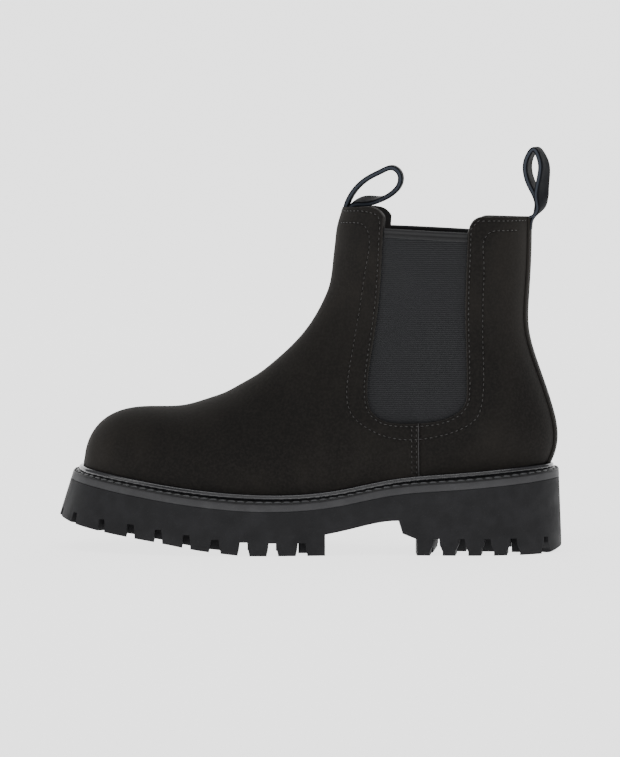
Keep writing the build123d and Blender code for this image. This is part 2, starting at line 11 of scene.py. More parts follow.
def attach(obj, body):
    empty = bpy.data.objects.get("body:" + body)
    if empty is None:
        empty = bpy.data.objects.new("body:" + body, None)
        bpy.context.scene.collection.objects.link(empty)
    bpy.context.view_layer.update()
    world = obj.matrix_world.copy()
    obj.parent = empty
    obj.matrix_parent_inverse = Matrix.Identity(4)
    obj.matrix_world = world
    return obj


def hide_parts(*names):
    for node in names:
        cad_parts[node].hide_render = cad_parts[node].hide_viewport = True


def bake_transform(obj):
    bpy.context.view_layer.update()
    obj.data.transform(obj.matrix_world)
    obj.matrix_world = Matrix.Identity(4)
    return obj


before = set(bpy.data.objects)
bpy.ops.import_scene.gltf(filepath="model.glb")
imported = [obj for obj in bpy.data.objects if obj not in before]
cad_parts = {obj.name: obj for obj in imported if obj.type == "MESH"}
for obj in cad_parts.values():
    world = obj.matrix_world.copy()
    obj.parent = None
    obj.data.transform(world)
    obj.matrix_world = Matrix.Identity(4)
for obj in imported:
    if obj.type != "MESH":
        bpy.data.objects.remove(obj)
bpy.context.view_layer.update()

# Black nubuck chelsea boot, left foot.  Toe to -X, outer side to -Y, floor at Z = 0.
# Shapes are worked out in millimetres, as in the part's source, and meshes are in metres.
MM = 0.001
UP = np.array([0, 0, 1.0])

# ---- driving sizes, mm
LEATHER = 1.8
MIDSOLE = 4.3
WELT = 1.5
BEAD = 2.6                 # how far the welt's bead stands up
FEATHER = MIDSOLE + WELT
MIDDLE = 1.2               # stiffeners, interlining and elastic
LINING = 1.0
INSOLE = 2.4               # board
FOOTBED = 4.0              # cushioned sock
STRIP = 1.5                # back strip
THREAD_IN = -1.00          # the welt's stitching lies this far in from the sole's edge
LAP_RISE = 0.75            # the vamp lies this far up over the quarters
RIB_PITCH = 1.15           # ribs of the elastic
RIB_DEEP = 0.24
GORE_SUNK = 0.35           # the elastic lies this far under the leather's inner face
GORE_MARGIN = 5.5          # the elastic runs on this far behind the window's edge
CLEAR = 0.02               # between layers
BEAD_UP = 1.75             # middle of the bead above the welt
BEAD_HALF = [1.60, 1.85]   # half its width and height
BEAD_SQUARE = 0.80         # 1 is an ellipse, less is squarer
SHAFT_MIDDLE = (65.0, 0.0)
TRIM = 1.9                 # stitching lies this far from a folded edge
PITCH, LONG, THICK = 3.05, 1.65, 0.46              # stitches of the upper
SEAM_THICK = 0.36                                  # thinner ones along the side seam
WELT_PITCH, WELT_LONG, WELT_THICK = 5.3, 4.1, 1.1  # stitches of the welt
STRAP_WIDE = 14.0
STRAP_THICK = 2.9          # away from the roots, where the straps are skived thin
SEAM_X = 66.0              # side seam, vamp in front and quarters behind
PUFF_X = -80.0             # the toe puff ends here
LAYER_SPLIT = 93.0         # the front and the rear interlining meet here
POCKET_LOW = 176.0         # the front strap's tail reaches down to here
COUNTER = np.array([(90, 20), (90, 70), (103, 98), (160, 102), (160, 20.0)])
GORE_TUCK = 9.0            # interlinings stop this far from the window
GORE_TOP = [(20, 187.9), (110, 183.3)]
SOLE_LINE = [(-160, 43.0), (-120, 36.8), (-80, 30.4), (-40, 26.0), (-12, 25.2), (20, 28.0),
             (50, 34.0), (85, 37.3), (120, 40.4), (155, 44.0)]
SOLE_PLAN = [(-137.6, 5, 15.6), (-133.5, -13, 14), (-119, -31, 10), (-95, -43, 7),
             (-60, -49.5, 4.7), (-25, -49.5, 4.2), (10, -43.5, 3.5), (45, -39, 3),
             (85, -38, 2.5), (115, -34, 2), (136, -21, 1.5), (145, 0, 2.0),
             (136, 20, 1.5), (115, 31.5, 2), (85, 34.5, 2.5), (45, 33.5, 3),
             (10, 38, 3.5), (-25, 44.5, 4.5), (-60, 49, 5.4), (-95, 46.5, 7),
             (-119, 38, 10), (-133, 23, 14)]
PLAN_TOP = 50.0

# Ribs of the last, toe to collar: crest (x, z), foot (x, z), outer and inner half width,
# height of the widest place, squareness above and below it.
RIBS = [
    (-132.2, 53.0, -132.2, 41.0, -5.0, 11.0, 0.50, 0.56, 0.56),
    (-130.9, 60.0, -130.9, 34.0, -10.5, 16.5, 0.50, 0.58, 0.56),
    (-127.9, 66.8, -127.7, 29.5, -17.5, 22.5, 0.48, 0.58, 0.56),
    (-122.6, 73.4, -122.0, 26.0, -24.0, 28.5, 0.45, 0.58, 0.56),
    (-113.8, 78.9, -113.0, 23.5, -31.0, 34.5, 0.44, 0.57, 0.56),
    (-98.4, 82.2, -98.0, 20.0, -37.8, 39.8, 0.43, 0.56, 0.56),
    (-77.4, 82.8, -78.0, 17.0, -43.0, 43.0, 0.42, 0.55, 0.56),
    (-58.5, 87.5, -57.0, 14.0, -45.5, 43.5, 0.41, 0.52, 0.56),
    (-37.5, 97.2, -32.0, 12.0, -45.5, 41.5, 0.38, 0.48, 0.56),
    (-19.5, 110.2, -3.0, 11.0, -43.5, 38.5, 0.36, 0.45, 0.56),
    (-5.5, 123.7, 27.0, 14.0, -40.5, 35.0, 0.36, 0.45, 0.56),
    (3.6, 136.8, 62.0, 20.0, -37.5, 33.0, 0.38, 0.46, 0.56),
    (8.4, 146.2, 98.0, 26.0, -35.5, 32.0, 0.42, 0.48, 0.58),
    (11.0, 152.5, 128.0, 38.0, -34.8, 32.0, 0.46, 0.50, 0.62),
    (12.4, 158.4, 139.6, 56.0, -34.0, 32.0, 0.48, 0.52, 0.60),
    (13.2, 164.5, 141.0, 72.0, -33.4, 32.0, 0.50, 0.53, 0.58),
    (13.9, 171.5, 137.4, 91.0, -32.8, 31.8, 0.50, 0.54, 0.57),
    (14.8, 179.5, 131.0, 110.0, -32.6, 31.8, 0.50, 0.55, 0.56),
    (15.8, 187.5, 126.2, 128.0, -33.0, 32.2, 0.50, 0.56, 0.56),
    (18.4, 196.8, 126.0, 146.0, -33.4, 32.8, 0.50, 0.56, 0.56),
    (21.0, 206.0, 127.2, 168.0, -33.8, 33.4, 0.50, 0.56, 0.56),
    (23.5, 216.0, 127.6, 192.0, -34.0, 33.8, 0.50, 0.56, 0.56),
    (26.0, 228.0, 127.4, 216.0, -34.2, 34.0, 0.50, 0.56, 0.56),
]
COLLAR = [(-20, 197.9), (44.9, 200.4), (45.6, 187.2), (95.0, 184.6), (95.5, 194.6), (160, 193.6)]
COLLAR_RADII = [10.0, 0.8, 0.8, 8.0]
COLLAR_DROP = 1.0
GORE = [(45.2, 210), (43.9, 184), (41.9, 149.7), (38.6, 122.2), (36.4, 105.6),
        (35.9, 92.3), (38.2, 83.0), (44.5, 77.6), (56, 75.6), (75, 76.6), (86, 80.2),
        (92.0, 86.0), (93.6, 96.0), (93.2, 117), (92.6, 139), (93.6, 172), (94.6, 210)]


# ---- curves
def cubic(knots, values, at):
    """Natural cubic spline through values at knots, read at other places."""
    knots = np.asarray(knots, float)
    values = np.asarray(values, float)
    at = np.asarray(at, float)
    n = len(knots)
    gap = np.diff(knots)
    slope = np.diff(values) / gap
    matrix = np.eye(n)
    right = np.zeros(n)
    for i in range(1, n - 1):
        matrix[i, i - 1:i + 2] = gap[i - 1], 2 * (gap[i - 1] + gap[i]), gap[i]
        right[i] = 6 * (slope[i] - slope[i - 1])
    bend = np.linalg.solve(matrix, right)
    i = np.clip(np.searchsorted(knots, at) - 1, 0, n - 2)
    a = knots[i + 1] - at
    b = at - knots[i]
    h = gap[i]
    return (bend[i] * a ** 3 + bend[i + 1] * b ** 3) / (6 * h) \
        + (values[i] / h - bend[i] * h / 6) * a + (values[i + 1] / h - bend[i + 1] * h / 6) * b


def unit(rows):
    """Vectors scaled to length 1."""
    return rows / np.linalg.norm(rows, axis=-1, keepdims=True)


def xz(line, y=0.0):
    """Side-view points (x, z) put into space."""
    return np.insert(line, 1, y, axis=1)


def read(at, run, rows):
    """Rows of numbers, known at their running length, read at other lengths."""
    return np.stack([np.interp(at, run, column) for column in rows.T], axis=1)


def smooth_read(at, run, rows):
    """The same along a spline."""
    return np.stack([cubic(run, column, at) for column in rows.T], axis=1)


def chord(points):
    """Running length along points."""
    points = np.asarray(points, float)
    return np.concatenate([[0], np.cumsum(np.linalg.norm(np.diff(points, axis=0), axis=1))])


def smooth_line(points, count):
    """Points evenly spaced along a smooth curve through the given ones."""
    points = np.asarray(points, float)
    run = chord(points)
    fine = np.linspace(0, run[-1], 20 * len(points))
    return even(smooth_read(fine, run, points), count)


def step(low, high, value):
    """Smooth rise from 0 to 1 between two values."""
    x = np.clip((value - low) / (high - low), 0, 1)
    return x * x * (3 - 2 * x)


def even(points, count, closed=False):
    """The same polyline with evenly spaced points."""
    points = np.asarray(points, float)
    if closed:
        points = np.vstack([points, points[:1]])
    run = chord(points)
    return read(np.linspace(0, run[-1], count, endpoint=not closed), run, points)


def closed_curve(points, count):
    """Evenly spaced points of a smooth closed curve through the given ones."""
    points = np.asarray(points, float)
    wrap = 4
    longer = np.vstack([points[-wrap:], points, points[:wrap + 1]])
    run = chord(longer)
    fine = np.linspace(run[wrap], run[wrap + len(points)], 1600, endpoint=False)
    return even(smooth_read(fine, run, longer), count, closed=True)


def sole_line(x):
    """Height of the dark outsole's top edge."""
    return cubic(*np.array(SOLE_LINE).T, np.clip(x, -159, 154))


def feather_line(x):
    """Height at which the upper meets the welt."""
    return sole_line(x) + FEATHER


def fillet_corners(points, radii, steps=8):
    """Polyline with an arc of the given radius at each inner corner."""
    line = [points[0]]
    for before, corner, after, radius in zip(points, points[1:], points[2:], radii):
        c = np.array(corner, float)
        u = np.array(before, float) - c
        v = np.array(after, float) - c
        u /= np.linalg.norm(u)
        v /= np.linalg.norm(v)
        half = math.acos(float(np.clip(u @ v, -1, 1))) / 2
        centre = c + (u + v) / np.linalg.norm(u + v) * radius / math.sin(half)
        start = c + u * radius / math.tan(half) - centre
        end = c + v * radius / math.tan(half) - centre
        for k in range(steps + 1):
            mix = start * (1 - k / steps) + end * k / steps
            line.append(tuple(centre + mix / np.linalg.norm(mix) * radius))
    line.append(points[-1])
    return np.array(line)


def away_line(line, distance):
    """A side-view line moved sideways, to the left of its direction."""
    ahead = unit(np.gradient(line, axis=0))
    return line + np.stack([-ahead[:, 1], ahead[:, 0]], axis=1) * distance


WINDOW = smooth_line(GORE, 240)
COLLAR_LINE = fillet_corners(COLLAR, COLLAR_RADII)


def segment_gap(points, a, b):
    """Distance of side-view points from a straight line between two others."""
    d = b - a
    t = np.clip(((points - a) @ d) / max(d @ d, 1e-12), 0, 1)
    return np.linalg.norm(points - a - t[:, None] * d, axis=1)


def inside(points, polygon):
    """Signed distance of side-view points from a closed polygon, positive inside."""
    best = np.full(len(points), 1e9)
    crossings = np.zeros(len(points), int)
    for a, b in zip(polygon, np.roll(polygon, -1, axis=0)):
        best = np.minimum(best, segment_gap(points, a, b))
        if a[1] != b[1]:
            over = (a[1] > points[:, 1]) != (b[1] > points[:, 1])
            reach = a[0] + (points[:, 1] - a[1]) / (b[1] - a[1]) * (b[0] - a[0])
            crossings += over & (points[:, 0] < reach)
    return np.where(crossings % 2 == 1, best, -best)


# ---- the last's surface
RIB_TABLE = np.array(RIBS)
NOSE = 0.7                                 # how far the toe's cap is crowned
RIB_RUN = np.concatenate([[0], np.cumsum(0.5 * (
    np.linalg.norm(np.diff(RIB_TABLE[:, 0:2], axis=0), axis=1)
    + np.linalg.norm(np.diff(RIB_TABLE[:, 2:4], axis=0), axis=1)))])


def last_point(u, t):
    """Points on the last: u runs from the toe to the collar, t from 0 to 4 round the rib."""
    rib = [cubic(RIB_RUN, RIB_TABLE[:, k], u) for k in range(9)]
    crest_x, crest_z, foot_x, foot_z, outer, inner, widest, full_up, full_low = rib
    tall = np.hypot(crest_x - foot_x, crest_z - foot_z)
    middle = (outer + inner) / 2
    level = widest * tall
    side = np.where(t < 2, outer, inner) - middle
    s = np.where(t < 2, t, 4 - t)
    lower = s > 1
    f = np.where(lower, 2 - s, s)
    full = np.where(lower, full_low, full_up)
    end = np.where(lower, 0, tall)
    height = level - end
    b0, b1 = (1 - f) ** 3, 3 * (1 - f) ** 2 * f
    b2, b3 = 3 * (1 - f) * f ** 2, f ** 3
    across = middle + side * (b1 * full + b2 + b3)
    up = end * (b0 + b1) + (level - height * full) * b2 + level * b3
    rise_x = (crest_x - foot_x) / tall
    rise_z = (crest_z - foot_z) / tall
    return np.stack([foot_x + up * rise_x, across, foot_z + up * rise_z], axis=-1)


def last_surface(along, around):
    """Grid of points and outward normals over the last, closed at the toe's nose."""
    u = np.linspace(0, RIB_RUN[-1], along)
    t = np.linspace(0, 4, around, endpoint=False)
    grid = last_point(u[:, None] + 0 * t, t + 0 * u[:, None])
    centre = grid[0].mean(axis=0)
    caps = []
    for share in (0.02, 0.2, 0.4, 0.6, 0.8):
        ring = centre + (grid[0] - centre) * share
        ring[:, 0] = grid[0, 0, 0] - NOSE * math.sqrt(1 - share ** 2)
        caps.append(ring)
    grid = np.concatenate([np.array(caps), grid])
    lengthways = np.gradient(grid, axis=0)
    sideways = np.roll(grid, -1, axis=1) - np.roll(grid, 1, axis=1)
    normal = unit(np.cross(lengthways, sideways))
    heart = grid.mean(axis=1, keepdims=True)
    flip = np.sign(((grid - heart) * normal).sum(axis=(1, 2)))
    return grid, normal * flip[:, None, None]


def hump(value, middle, width):
    """Smooth rise to 1 at the middle and back to 0."""
    return np.exp(-((value - middle) / width) ** 2)


def soft_folds(p):
    """Small hollows and swellings that handling leaves in the leather, in mm."""
    x, y, z = p[..., 0], p[..., 1], p[..., 2]
    flex = hump(x, -42, 26) * hump(z, 84, 22)
    ankle = hump(x, 8, 22) * hump(z, 122, 24)
    waves = np.sin(0.21 * x + 0.10 * z + 0.05 * y) * flex
    bends = np.sin(0.16 * z - 0.13 * x + 1.2 + 0.03 * y) * ankle
    slow = np.sin(0.045 * x + 0.7) * np.sin(0.05 * y + 0.3) * np.sin(0.04 * z + 1.1)
    heel = hump(z, 66, 18) * step(112, 138, x)
    return 0.30 * waves + 0.42 * bends + 0.25 * slow + 1.8 * heel


ALONG, AROUND = 300, 224
LAST, NORMAL = last_surface(ALONG, AROUND)
LAST = LAST + NORMAL * soft_folds(LAST)[..., None]


# ---- meshes
def grid_faces(rows, cols, wrap_rows=False, wrap_cols=False):
    """Quads of a grid of points."""
    i = np.arange(rows if wrap_rows else rows - 1)
    j = np.arange(cols if wrap_cols else cols - 1)
    i, j = np.meshgrid(i, j, indexing="ij")
    a = i * cols + j
    b = i * cols + (j + 1) % cols
    c = (i + 1) % rows * cols + (j + 1) % cols
    d = (i + 1) % rows * cols + j
    return [tuple(face) for face in np.stack([a, b, c, d], axis=-1).reshape(-1, 4).tolist()]


def make_object(name, points, faces, material):
    """Smooth-shaded mesh object from points in mm."""
    mesh = bpy.data.meshes.new(name)
    mesh.from_pydata((np.asarray(points) * MM).tolist(), [], faces)
    mesh.validate()
    mesh.polygons.foreach_set("use_smooth", [True] * len(mesh.polygons))
    thing = bpy.data.objects.new(name, mesh)
    bpy.context.collection.objects.link(thing)
    mesh.materials.append(material)
    return thing


@contextmanager
def editing(thing):
    """An object's mesh, open for changes."""
    mesh = bmesh.new()
    mesh.from_mesh(thing.data)
    yield mesh
    mesh.to_mesh(thing.data)
    mesh.free()


def make_piece(name, points, faces, material, slot, nodes=(), body="root"):
    """Closed piece of the boot from points in mm, with its faces turned outwards."""
    thing = make_object(name, points, faces, material)
    with editing(thing) as mesh:
        bmesh.ops.recalc_face_normals(mesh, faces=mesh.faces)
    if nodes:
        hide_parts(*nodes)
    if body:
        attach(thing, body)
    return thing


def clip(points, faces, value, both=False):
    """The part of a mesh where value is above 0, cut exactly along its zero line, or with
    both, the whole mesh with that line cut into it. Rows of points may go on after x, y, z."""
    value = np.where(np.abs(value) < 1e-5, 1e-5, value)
    above = (value > 0).tolist()
    rows = list(points)
    cuts = {}
    kept = []
    for face in faces:
        held = [above[v] for v in face]
        if all(held) or (both and not any(held)):
            kept.append(tuple(face))
            continue
        if not any(held):
            continue
        high, low = [], []
        for a, b in zip(face, tuple(face[1:]) + (face[0],)):
            (high if above[a] else low).append(a)
            if above[a] != above[b]:
                key = (min(a, b), max(a, b))
                if key not in cuts:
                    mix = value[a] / (value[a] - value[b])
                    rows.append(rows[a] * (1 - mix) + rows[b] * mix)
                    cuts[key] = len(rows) - 1
                high.append(cuts[key])
                low.append(cuts[key])
        kept.append(tuple(high))
        if both:
            kept.append(tuple(low))
    used = sorted({v for face in kept for v in face})
    index = {v: k for k, v in enumerate(used)}
    return np.array([rows[v] for v in used]), [tuple(index[v] for v in face) for face in kept]


def add_numbers(thing, name, values):
    """A number for every point of a mesh, for its material to read."""
    layer = thing.data.attributes.new(name, "FLOAT", "POINT")
    layer.data.foreach_set("value", np.asarray(values, np.float32))


def open_edges(faces):
    """Edges with a face on one side only, as pairs of points."""
    edges = {(a, b) for face in faces for a, b in zip(face, face[1:] + face[:1])}
    return [(a, b) for a, b in edges if (b, a) not in edges]


def close_sheet(top, low, faces):
    """Closed mesh between two open sheets with the same faces."""
    count = len(top)
    rim = [(b, a, a + count, b + count) for a, b in open_edges(faces)]
    under = [tuple(v + count for v in reversed(face)) for face in faces]
    return np.vstack([top, low]), list(faces) + under + sorted(rim)


def join(groups):
    """Several lists of points and faces as one."""
    points, faces, start = [], [], 0
    for some, kind in groups:
        points.append(some)
        faces.extend(tuple(v + start for v in face) for face in kind)
        start += len(some)
    return np.vstack(points), faces


def sweep(path, normal, section, closed=False):
    """Tube or strap: a section of (sideways, up) points carried along a path. normal is
    the up direction at each place, and section may differ from place to place."""
    path = np.asarray(path, float)
    ahead = np.roll(path, -1, axis=0) - np.roll(path, 1, axis=0)
    if not closed:
        ahead[0] = path[1] - path[0]
        ahead[-1] = path[-1] - path[-2]
    ahead = unit(ahead)
    up = unit(normal - (normal * ahead).sum(axis=1)[:, None] * ahead)
    side = np.cross(ahead, up)
    section = np.broadcast_to(section, (len(path),) + np.shape(section)[-2:])
    rings = path[:, None] + section[..., :1] * side[:, None] + section[..., 1:] * up[:, None]
    rows, cols = rings.shape[:2]
    faces = grid_faces(rows, cols, wrap_rows=closed, wrap_cols=True)
    if not closed:
        faces.append(tuple(range(cols)))
        faces.append(tuple(range((rows - 1) * cols, rows * cols))[::-1])
    return rings.reshape(-1, 3), faces


# ---- fields on the upper
def collar_gap(p):
    """Distance below the collar line, in mm.  The line drops a little on the inner side."""
    drop = COLLAR_DROP * step(-10, 33, p[:, 1])
    return np.interp(p[:, 0], COLLAR_LINE[:, 0], COLLAR_LINE[:, 1]) - drop - p[:, 2]


WINDOW_SHAPE = np.vstack([WINDOW, [(WINDOW[-1][0], 260), (WINDOW[0][0], 260)]])


def window_gap(p, grow=0.0):
    """Distance outside the elastic window, in mm."""
    return -inside(p[:, [0, 2]], WINDOW_SHAPE) - grow


def sole_gap(p, above=0.0):
    """Height above the place where the upper meets the welt, in mm."""
    return p[:, 2] - feather_line(p[:, 0]) - above


def near_skin(points, directions):
    """Where lines from points, along one or many directions, meet the last, and the
    surface's normal there."""
    hits, normals = [], []
    for point, way in zip(points, np.broadcast_to(directions, points.shape)):
        hit, normal, _, _ = SKIN_TREE.ray_cast(Vector(point), Vector(way))
        if hit is None:
            hit, normal, _, _ = SKIN_TREE.find_nearest(Vector(point))
        hits.append(np.array(hit))
        normals.append(np.array(normal))
    return np.array(hits), np.array(normals)


def on_side(line, side):
    """Side-view points (x, z) laid on the last's outer (-1) or inner (+1) side."""
    return near_skin(xz(line, side * 120.0), (0, -side, 0))


LAST_ROWS = np.concatenate([LAST, NORMAL], axis=2).reshape(-1, 6)
LAST_FACES = grid_faces(*LAST.shape[:2], wrap_cols=True)
SKIN_TREE = BVHTree.FromPolygons(LAST.reshape(-1, 3).tolist(), LAST_FACES)
LAST_FACES.append(tuple(reversed(range(AROUND))))


# ---- materials
class Look:
    """A procedural material, put together node by node."""

    def __init__(self, name, colour, roughness, **sockets):
        self.material = bpy.data.materials.new(name)
        self.material.use_nodes = True
        self.tree = self.material.node_tree
        self.shader = self.tree.nodes["Principled BSDF"]
        self.shader.inputs["Base Color"].default_value = (*colour, 1)
        self.shader.inputs["Roughness"].default_value = roughness
        for socket, value in sockets.items():
            self.shader.inputs[socket.replace("_", " ")].default_value = value
        self.place = self.tree.nodes.new("ShaderNodeTexCoord").outputs["Object"]
        self.normal = None

    def node(self, kind, **settings):
        made = self.tree.nodes.new(kind)
        for key, value in settings.items():
            setattr(made, key, value)
        return made

    def feed(self, socket, value):
        if isinstance(value, bpy.types.NodeSocket):
            self.tree.links.new(value, socket)
        else:
            socket.default_value = (*value, 1) if socket.type == "RGBA" else value

    def texture(self, kind, per_metre, stretch=None, **inputs):
        made = self.node(kind)
        made.inputs["Scale"].default_value = per_metre
        for key, value in inputs.items():
            made.inputs[key.replace("_", " ")].default_value = value
        place = self.place
        if stretch:
            mapping = self.node("ShaderNodeMapping")
            self.feed(mapping.inputs["Vector"], place)
            mapping.inputs["Scale"].default_value = stretch
            place = mapping.outputs["Vector"]
        self.feed(made.inputs["Vector"], place)
        return made

    def noise(self, per_metre, detail=2.0, **more):
        return self.texture("ShaderNodeTexNoise", per_metre, Detail=detail, **more).outputs["Fac"]

    def cells(self, per_metre):
        return self.texture("ShaderNodeTexVoronoi", per_metre).outputs["Distance"]

    def waves(self, per_metre, direction="X", **more):
        made = self.texture("ShaderNodeTexWave", per_metre, **more)
        made.bands_direction = direction
        return made.outputs["Fac"]

    def number(self, name):
        return self.node("ShaderNodeAttribute", attribute_name=name).outputs["Fac"]

    def product(self, a, b):
        made = self.node("ShaderNodeMath", operation="MULTIPLY")
        self.feed(made.inputs[0], a)
        self.feed(made.inputs[1], b)
        return made.outputs[0]

    def spread(self, value, low, high, to_low=0.0, to_high=1.0):
        made = self.node("ShaderNodeMapRange", interpolation_type="SMOOTHSTEP")
        self.feed(made.inputs["Value"], value)
        for key, number in (("From Min", low), ("From Max", high), ("To Min", to_low),
                            ("To Max", to_high)):
            made.inputs[key].default_value = number
        return made.outputs["Result"]

    def mix(self, share, a, b):
        made = self.node("ShaderNodeMix", data_type="RGBA")
        self.feed(made.inputs[0], share)
        self.feed(made.inputs[6], a)
        self.feed(made.inputs[7], b)
        return made.outputs[2]

    def colour(self, value):
        self.feed(self.shader.inputs["Base Color"], value)

    def rough(self, value):
        self.feed(self.shader.inputs["Roughness"], value)

    def bump(self, height, distance, strength=1.0):
        made = self.node("ShaderNodeBump")
        made.inputs["Strength"].default_value = strength
        made.inputs["Distance"].default_value = distance
        self.feed(made.inputs["Height"], height)
        if self.normal:
            self.feed(made.inputs["Normal"], self.normal)
        self.normal = made.outputs["Normal"]
        self.feed(self.shader.inputs["Normal"], self.normal)


def nubuck():
    """Matt black nubuck: short nap, brownish bloom, paler where it is cut, with painted shade along
    the stitch grooves.
    """
    look = Look("nubuck", (0.012, 0.011, 0.010), 0.92, Sheen_Weight=0.05, Sheen_Roughness=0.55,
                Specular_IOR_Level=0.10)
    look.shader.inputs["Sheen Tint"].default_value = (0.80, 0.76, 0.72, 1)
    bloom = look.spread(look.noise(16, 4, Distortion=0.6), 0.38, 0.66)
    colour = look.mix(bloom, (0.0062, 0.0057, 0.0053), (0.0108, 0.0096, 0.0084))
    nap = look.spread(look.noise(700, 3), 0.35, 0.70)
    colour = look.mix(look.product(nap, 0.35), colour, (0.018, 0.016, 0.0145))
    cut = look.spread(look.number("edge"), 0.0, 0.5, 0.40, 0.0)
    colour = look.mix(cut, colour, (0.034, 0.0315, 0.029))
    # painted shade: darker within about 0.8 mm of each stitch row, standing in for the shade in its
    # groove
    groove_shade = look.spread(look.number("row"), 0.1, 0.8, 0.75, 0.0)
    colour = look.mix(groove_shade, colour, (0.0030, 0.0028, 0.0026))
    bare = look.spread(look.number("cut"), 0.25, 0.75, 0.9, 0.0)
    colour = look.mix(bare, colour, (0.050, 0.049, 0.050))
    look.colour(colour)
    look.bump(look.spread(look.number("row"), 0.1, 1.1), 0.00035, 0.8)
    look.bump(look.noise(90, 3), 0.00025, 0.5)
    look.bump(look.noise(900, 4), 0.00012, 0.55)
    return look.material


def strap_leather():
    """Smooth bluish black leather with paler painted edges."""
    look = Look("strap_leather", (0.014, 0.015, 0.017), 0.6, Specular_IOR_Level=0.03)
    grain = look.cells(1400)
    tone = look.spread(look.noise(60, 3), 0.35, 0.7)
    colour = look.mix(tone, (0.0038, 0.0042, 0.0054), (0.0064, 0.0070, 0.0086))
    colour = look.mix(look.spread(look.number("edge"), 0.1, 0.5, 0.8, 0.0), colour,
                      (0.046, 0.053, 0.066))
    look.colour(colour)
    look.rough(look.spread(look.noise(120, 2), 0.3, 0.7, 0.55, 0.70))
    look.bump(look.spread(look.number("row"), 0.1, 0.9), 0.0003, 0.7)
    look.bump(grain, 0.00012, 0.5)
    return look.material


def elastic():
    """Charcoal gore elastic: horizontal ribs crossed by fine upright threads, with painted shade in
    the hollows between the ribs.
    """
    look = Look("elastic", (0.03, 0.03, 0.031), 0.85, Sheen_Weight=0.05,
                Specular_IOR_Level=0.10)
    threads = look.waves(520, Distortion=1.4, Detail_Scale=3)
    fuzz = look.noise(1500, 2)
    lit = look.product(threads, fuzz)
    # painted shade: the colour follows the rib height, darker in the hollows and paler on the crests
    colour = look.mix(look.spread(look.number("rib"), 0.2, 0.9), (0.0100, 0.0102, 0.0109),
                      (0.0172, 0.0175, 0.0187))
    colour = look.mix(look.product(lit, 0.6), colour, (0.046, 0.047, 0.0495))
    look.colour(colour)
    look.bump(threads, 0.00010, 0.6)
    look.bump(fuzz, 0.00010, 0.4)
    return look.material


def tape():
    """Ribbed satin tape that binds the elastic, with a painted highlight on its folds and painted
    shade in its stitched hollow.
    """
    look = Look("tape", (0.02, 0.02, 0.021), 0.6, Sheen_Weight=0.04, Specular_IOR_Level=0.25)
    weave = look.waves(420, Distortion=0.8)
    # painted highlight on the top fold and the lower edge, painted shade in the hollows between
    colour = look.mix(look.number("fold_highlight"), (0.0045, 0.0045, 0.0049), (0.0300, 0.0303, 0.0325))
    look.colour(look.mix(look.product(weave, 0.4), colour, (0.0080, 0.0080, 0.0086)))
    look.bump(weave, 0.00012, 0.6)
    look.bump(look.noise(1200, 2), 0.00008, 0.4)
    return look.material


def lining_leather():
    """Pale-black pigskin-like lining, finely pored."""
    look = Look("lining_leather", (0.03, 0.028, 0.026), 0.7, Specular_IOR_Level=0.3)
    pores = look.spread(look.cells(900), 0.0, 0.35)
    tone = look.spread(look.noise(30, 3), 0.35, 0.65)
    colour = look.mix(tone, (0.022, 0.021, 0.020), (0.036, 0.033, 0.031))
    look.colour(look.mix(pores, (0.014, 0.013, 0.012), colour))
    look.bump(pores, 0.00012, 0.6)
    look.bump(look.noise(200, 3), 0.0002, 0.4)
    return look.material


def thread(name, low, high):
    """Twisted sewing thread."""
    look = Look(name, high, 0.6, Sheen_Weight=0.2)
    ply = look.waves(700, "DIAGONAL", Distortion=1.0)
    look.colour(look.mix(ply, low, high))
    look.bump(ply, 0.00010, 0.6)
    return look.material


def rubber(name, low, high, roughness, grain, worn=None, shine=0.3):
    """Moulded rubber with a fine matt skin.  worn is the radius of its rounded edges."""
    look = Look(name, high, roughness, Specular_IOR_Level=shine)
    if worn:
        bevel = look.node("ShaderNodeBevel", samples=4)
        bevel.inputs["Radius"].default_value = worn
        look.normal = bevel.outputs["Normal"]
    tone = look.spread(look.noise(110, 4), 0.35, 0.68)
    colour = look.mix(tone, low, high)
    specks = look.spread(look.noise(1600, 2), 0.62, 0.74)
    colour = look.mix(look.product(specks, 0.35), colour,
                      tuple(min(1, 2.2 * c) for c in high))
    look.colour(colour)
    look.rough(look.spread(look.noise(70, 3), 0.3, 0.7, roughness - 0.07, roughness + 0.07))
    look.bump(look.noise(grain, 3), 0.00010, 0.5)
    look.bump(look.noise(60, 2), 0.0003, 0.08)
    return look.material


def fibre(name, low, high, roughness, per_metre):
    """Pressed or felted sheet: boards, fillers and stiffeners."""
    look = Look(name, high, roughness)
    tone = look.spread(look.noise(per_metre, 5), 0.3, 0.7)
    look.colour(look.mix(tone, low, high))
    look.bump(tone, 0.00015, 0.6)
    return look.material


def steel():
    """Dull rolled steel."""
    look = Look("steel", (0.35, 0.35, 0.36), 0.4, Metallic=1.0)
    grain = look.noise(300, 3, stretch=(0.05, 1, 1))
    look.rough(look.spread(grain, 0.3, 0.7, 0.32, 0.5))
    look.colour(look.mix(grain, (0.28, 0.28, 0.29), (0.42, 0.42, 0.43)))
    look.bump(grain, 0.00005, 0.4)
    return look.material


NUBUCK = nubuck()
STRAP = strap_leather()
ELASTIC = elastic()
TAPE = tape()
LINING_SKIN = lining_leather()
UPPER_THREAD = thread("upper_thread", (0.005, 0.0044, 0.0040), (0.0135, 0.0118, 0.0108))
WELT_THREAD = thread("welt_thread_yarn", (0.026, 0.0265, 0.028), (0.046, 0.047, 0.050))
WELT_RUBBER = rubber("welt_rubber", (0.0055, 0.0055, 0.0060), (0.0085, 0.0085, 0.0092), 0.50, 900)
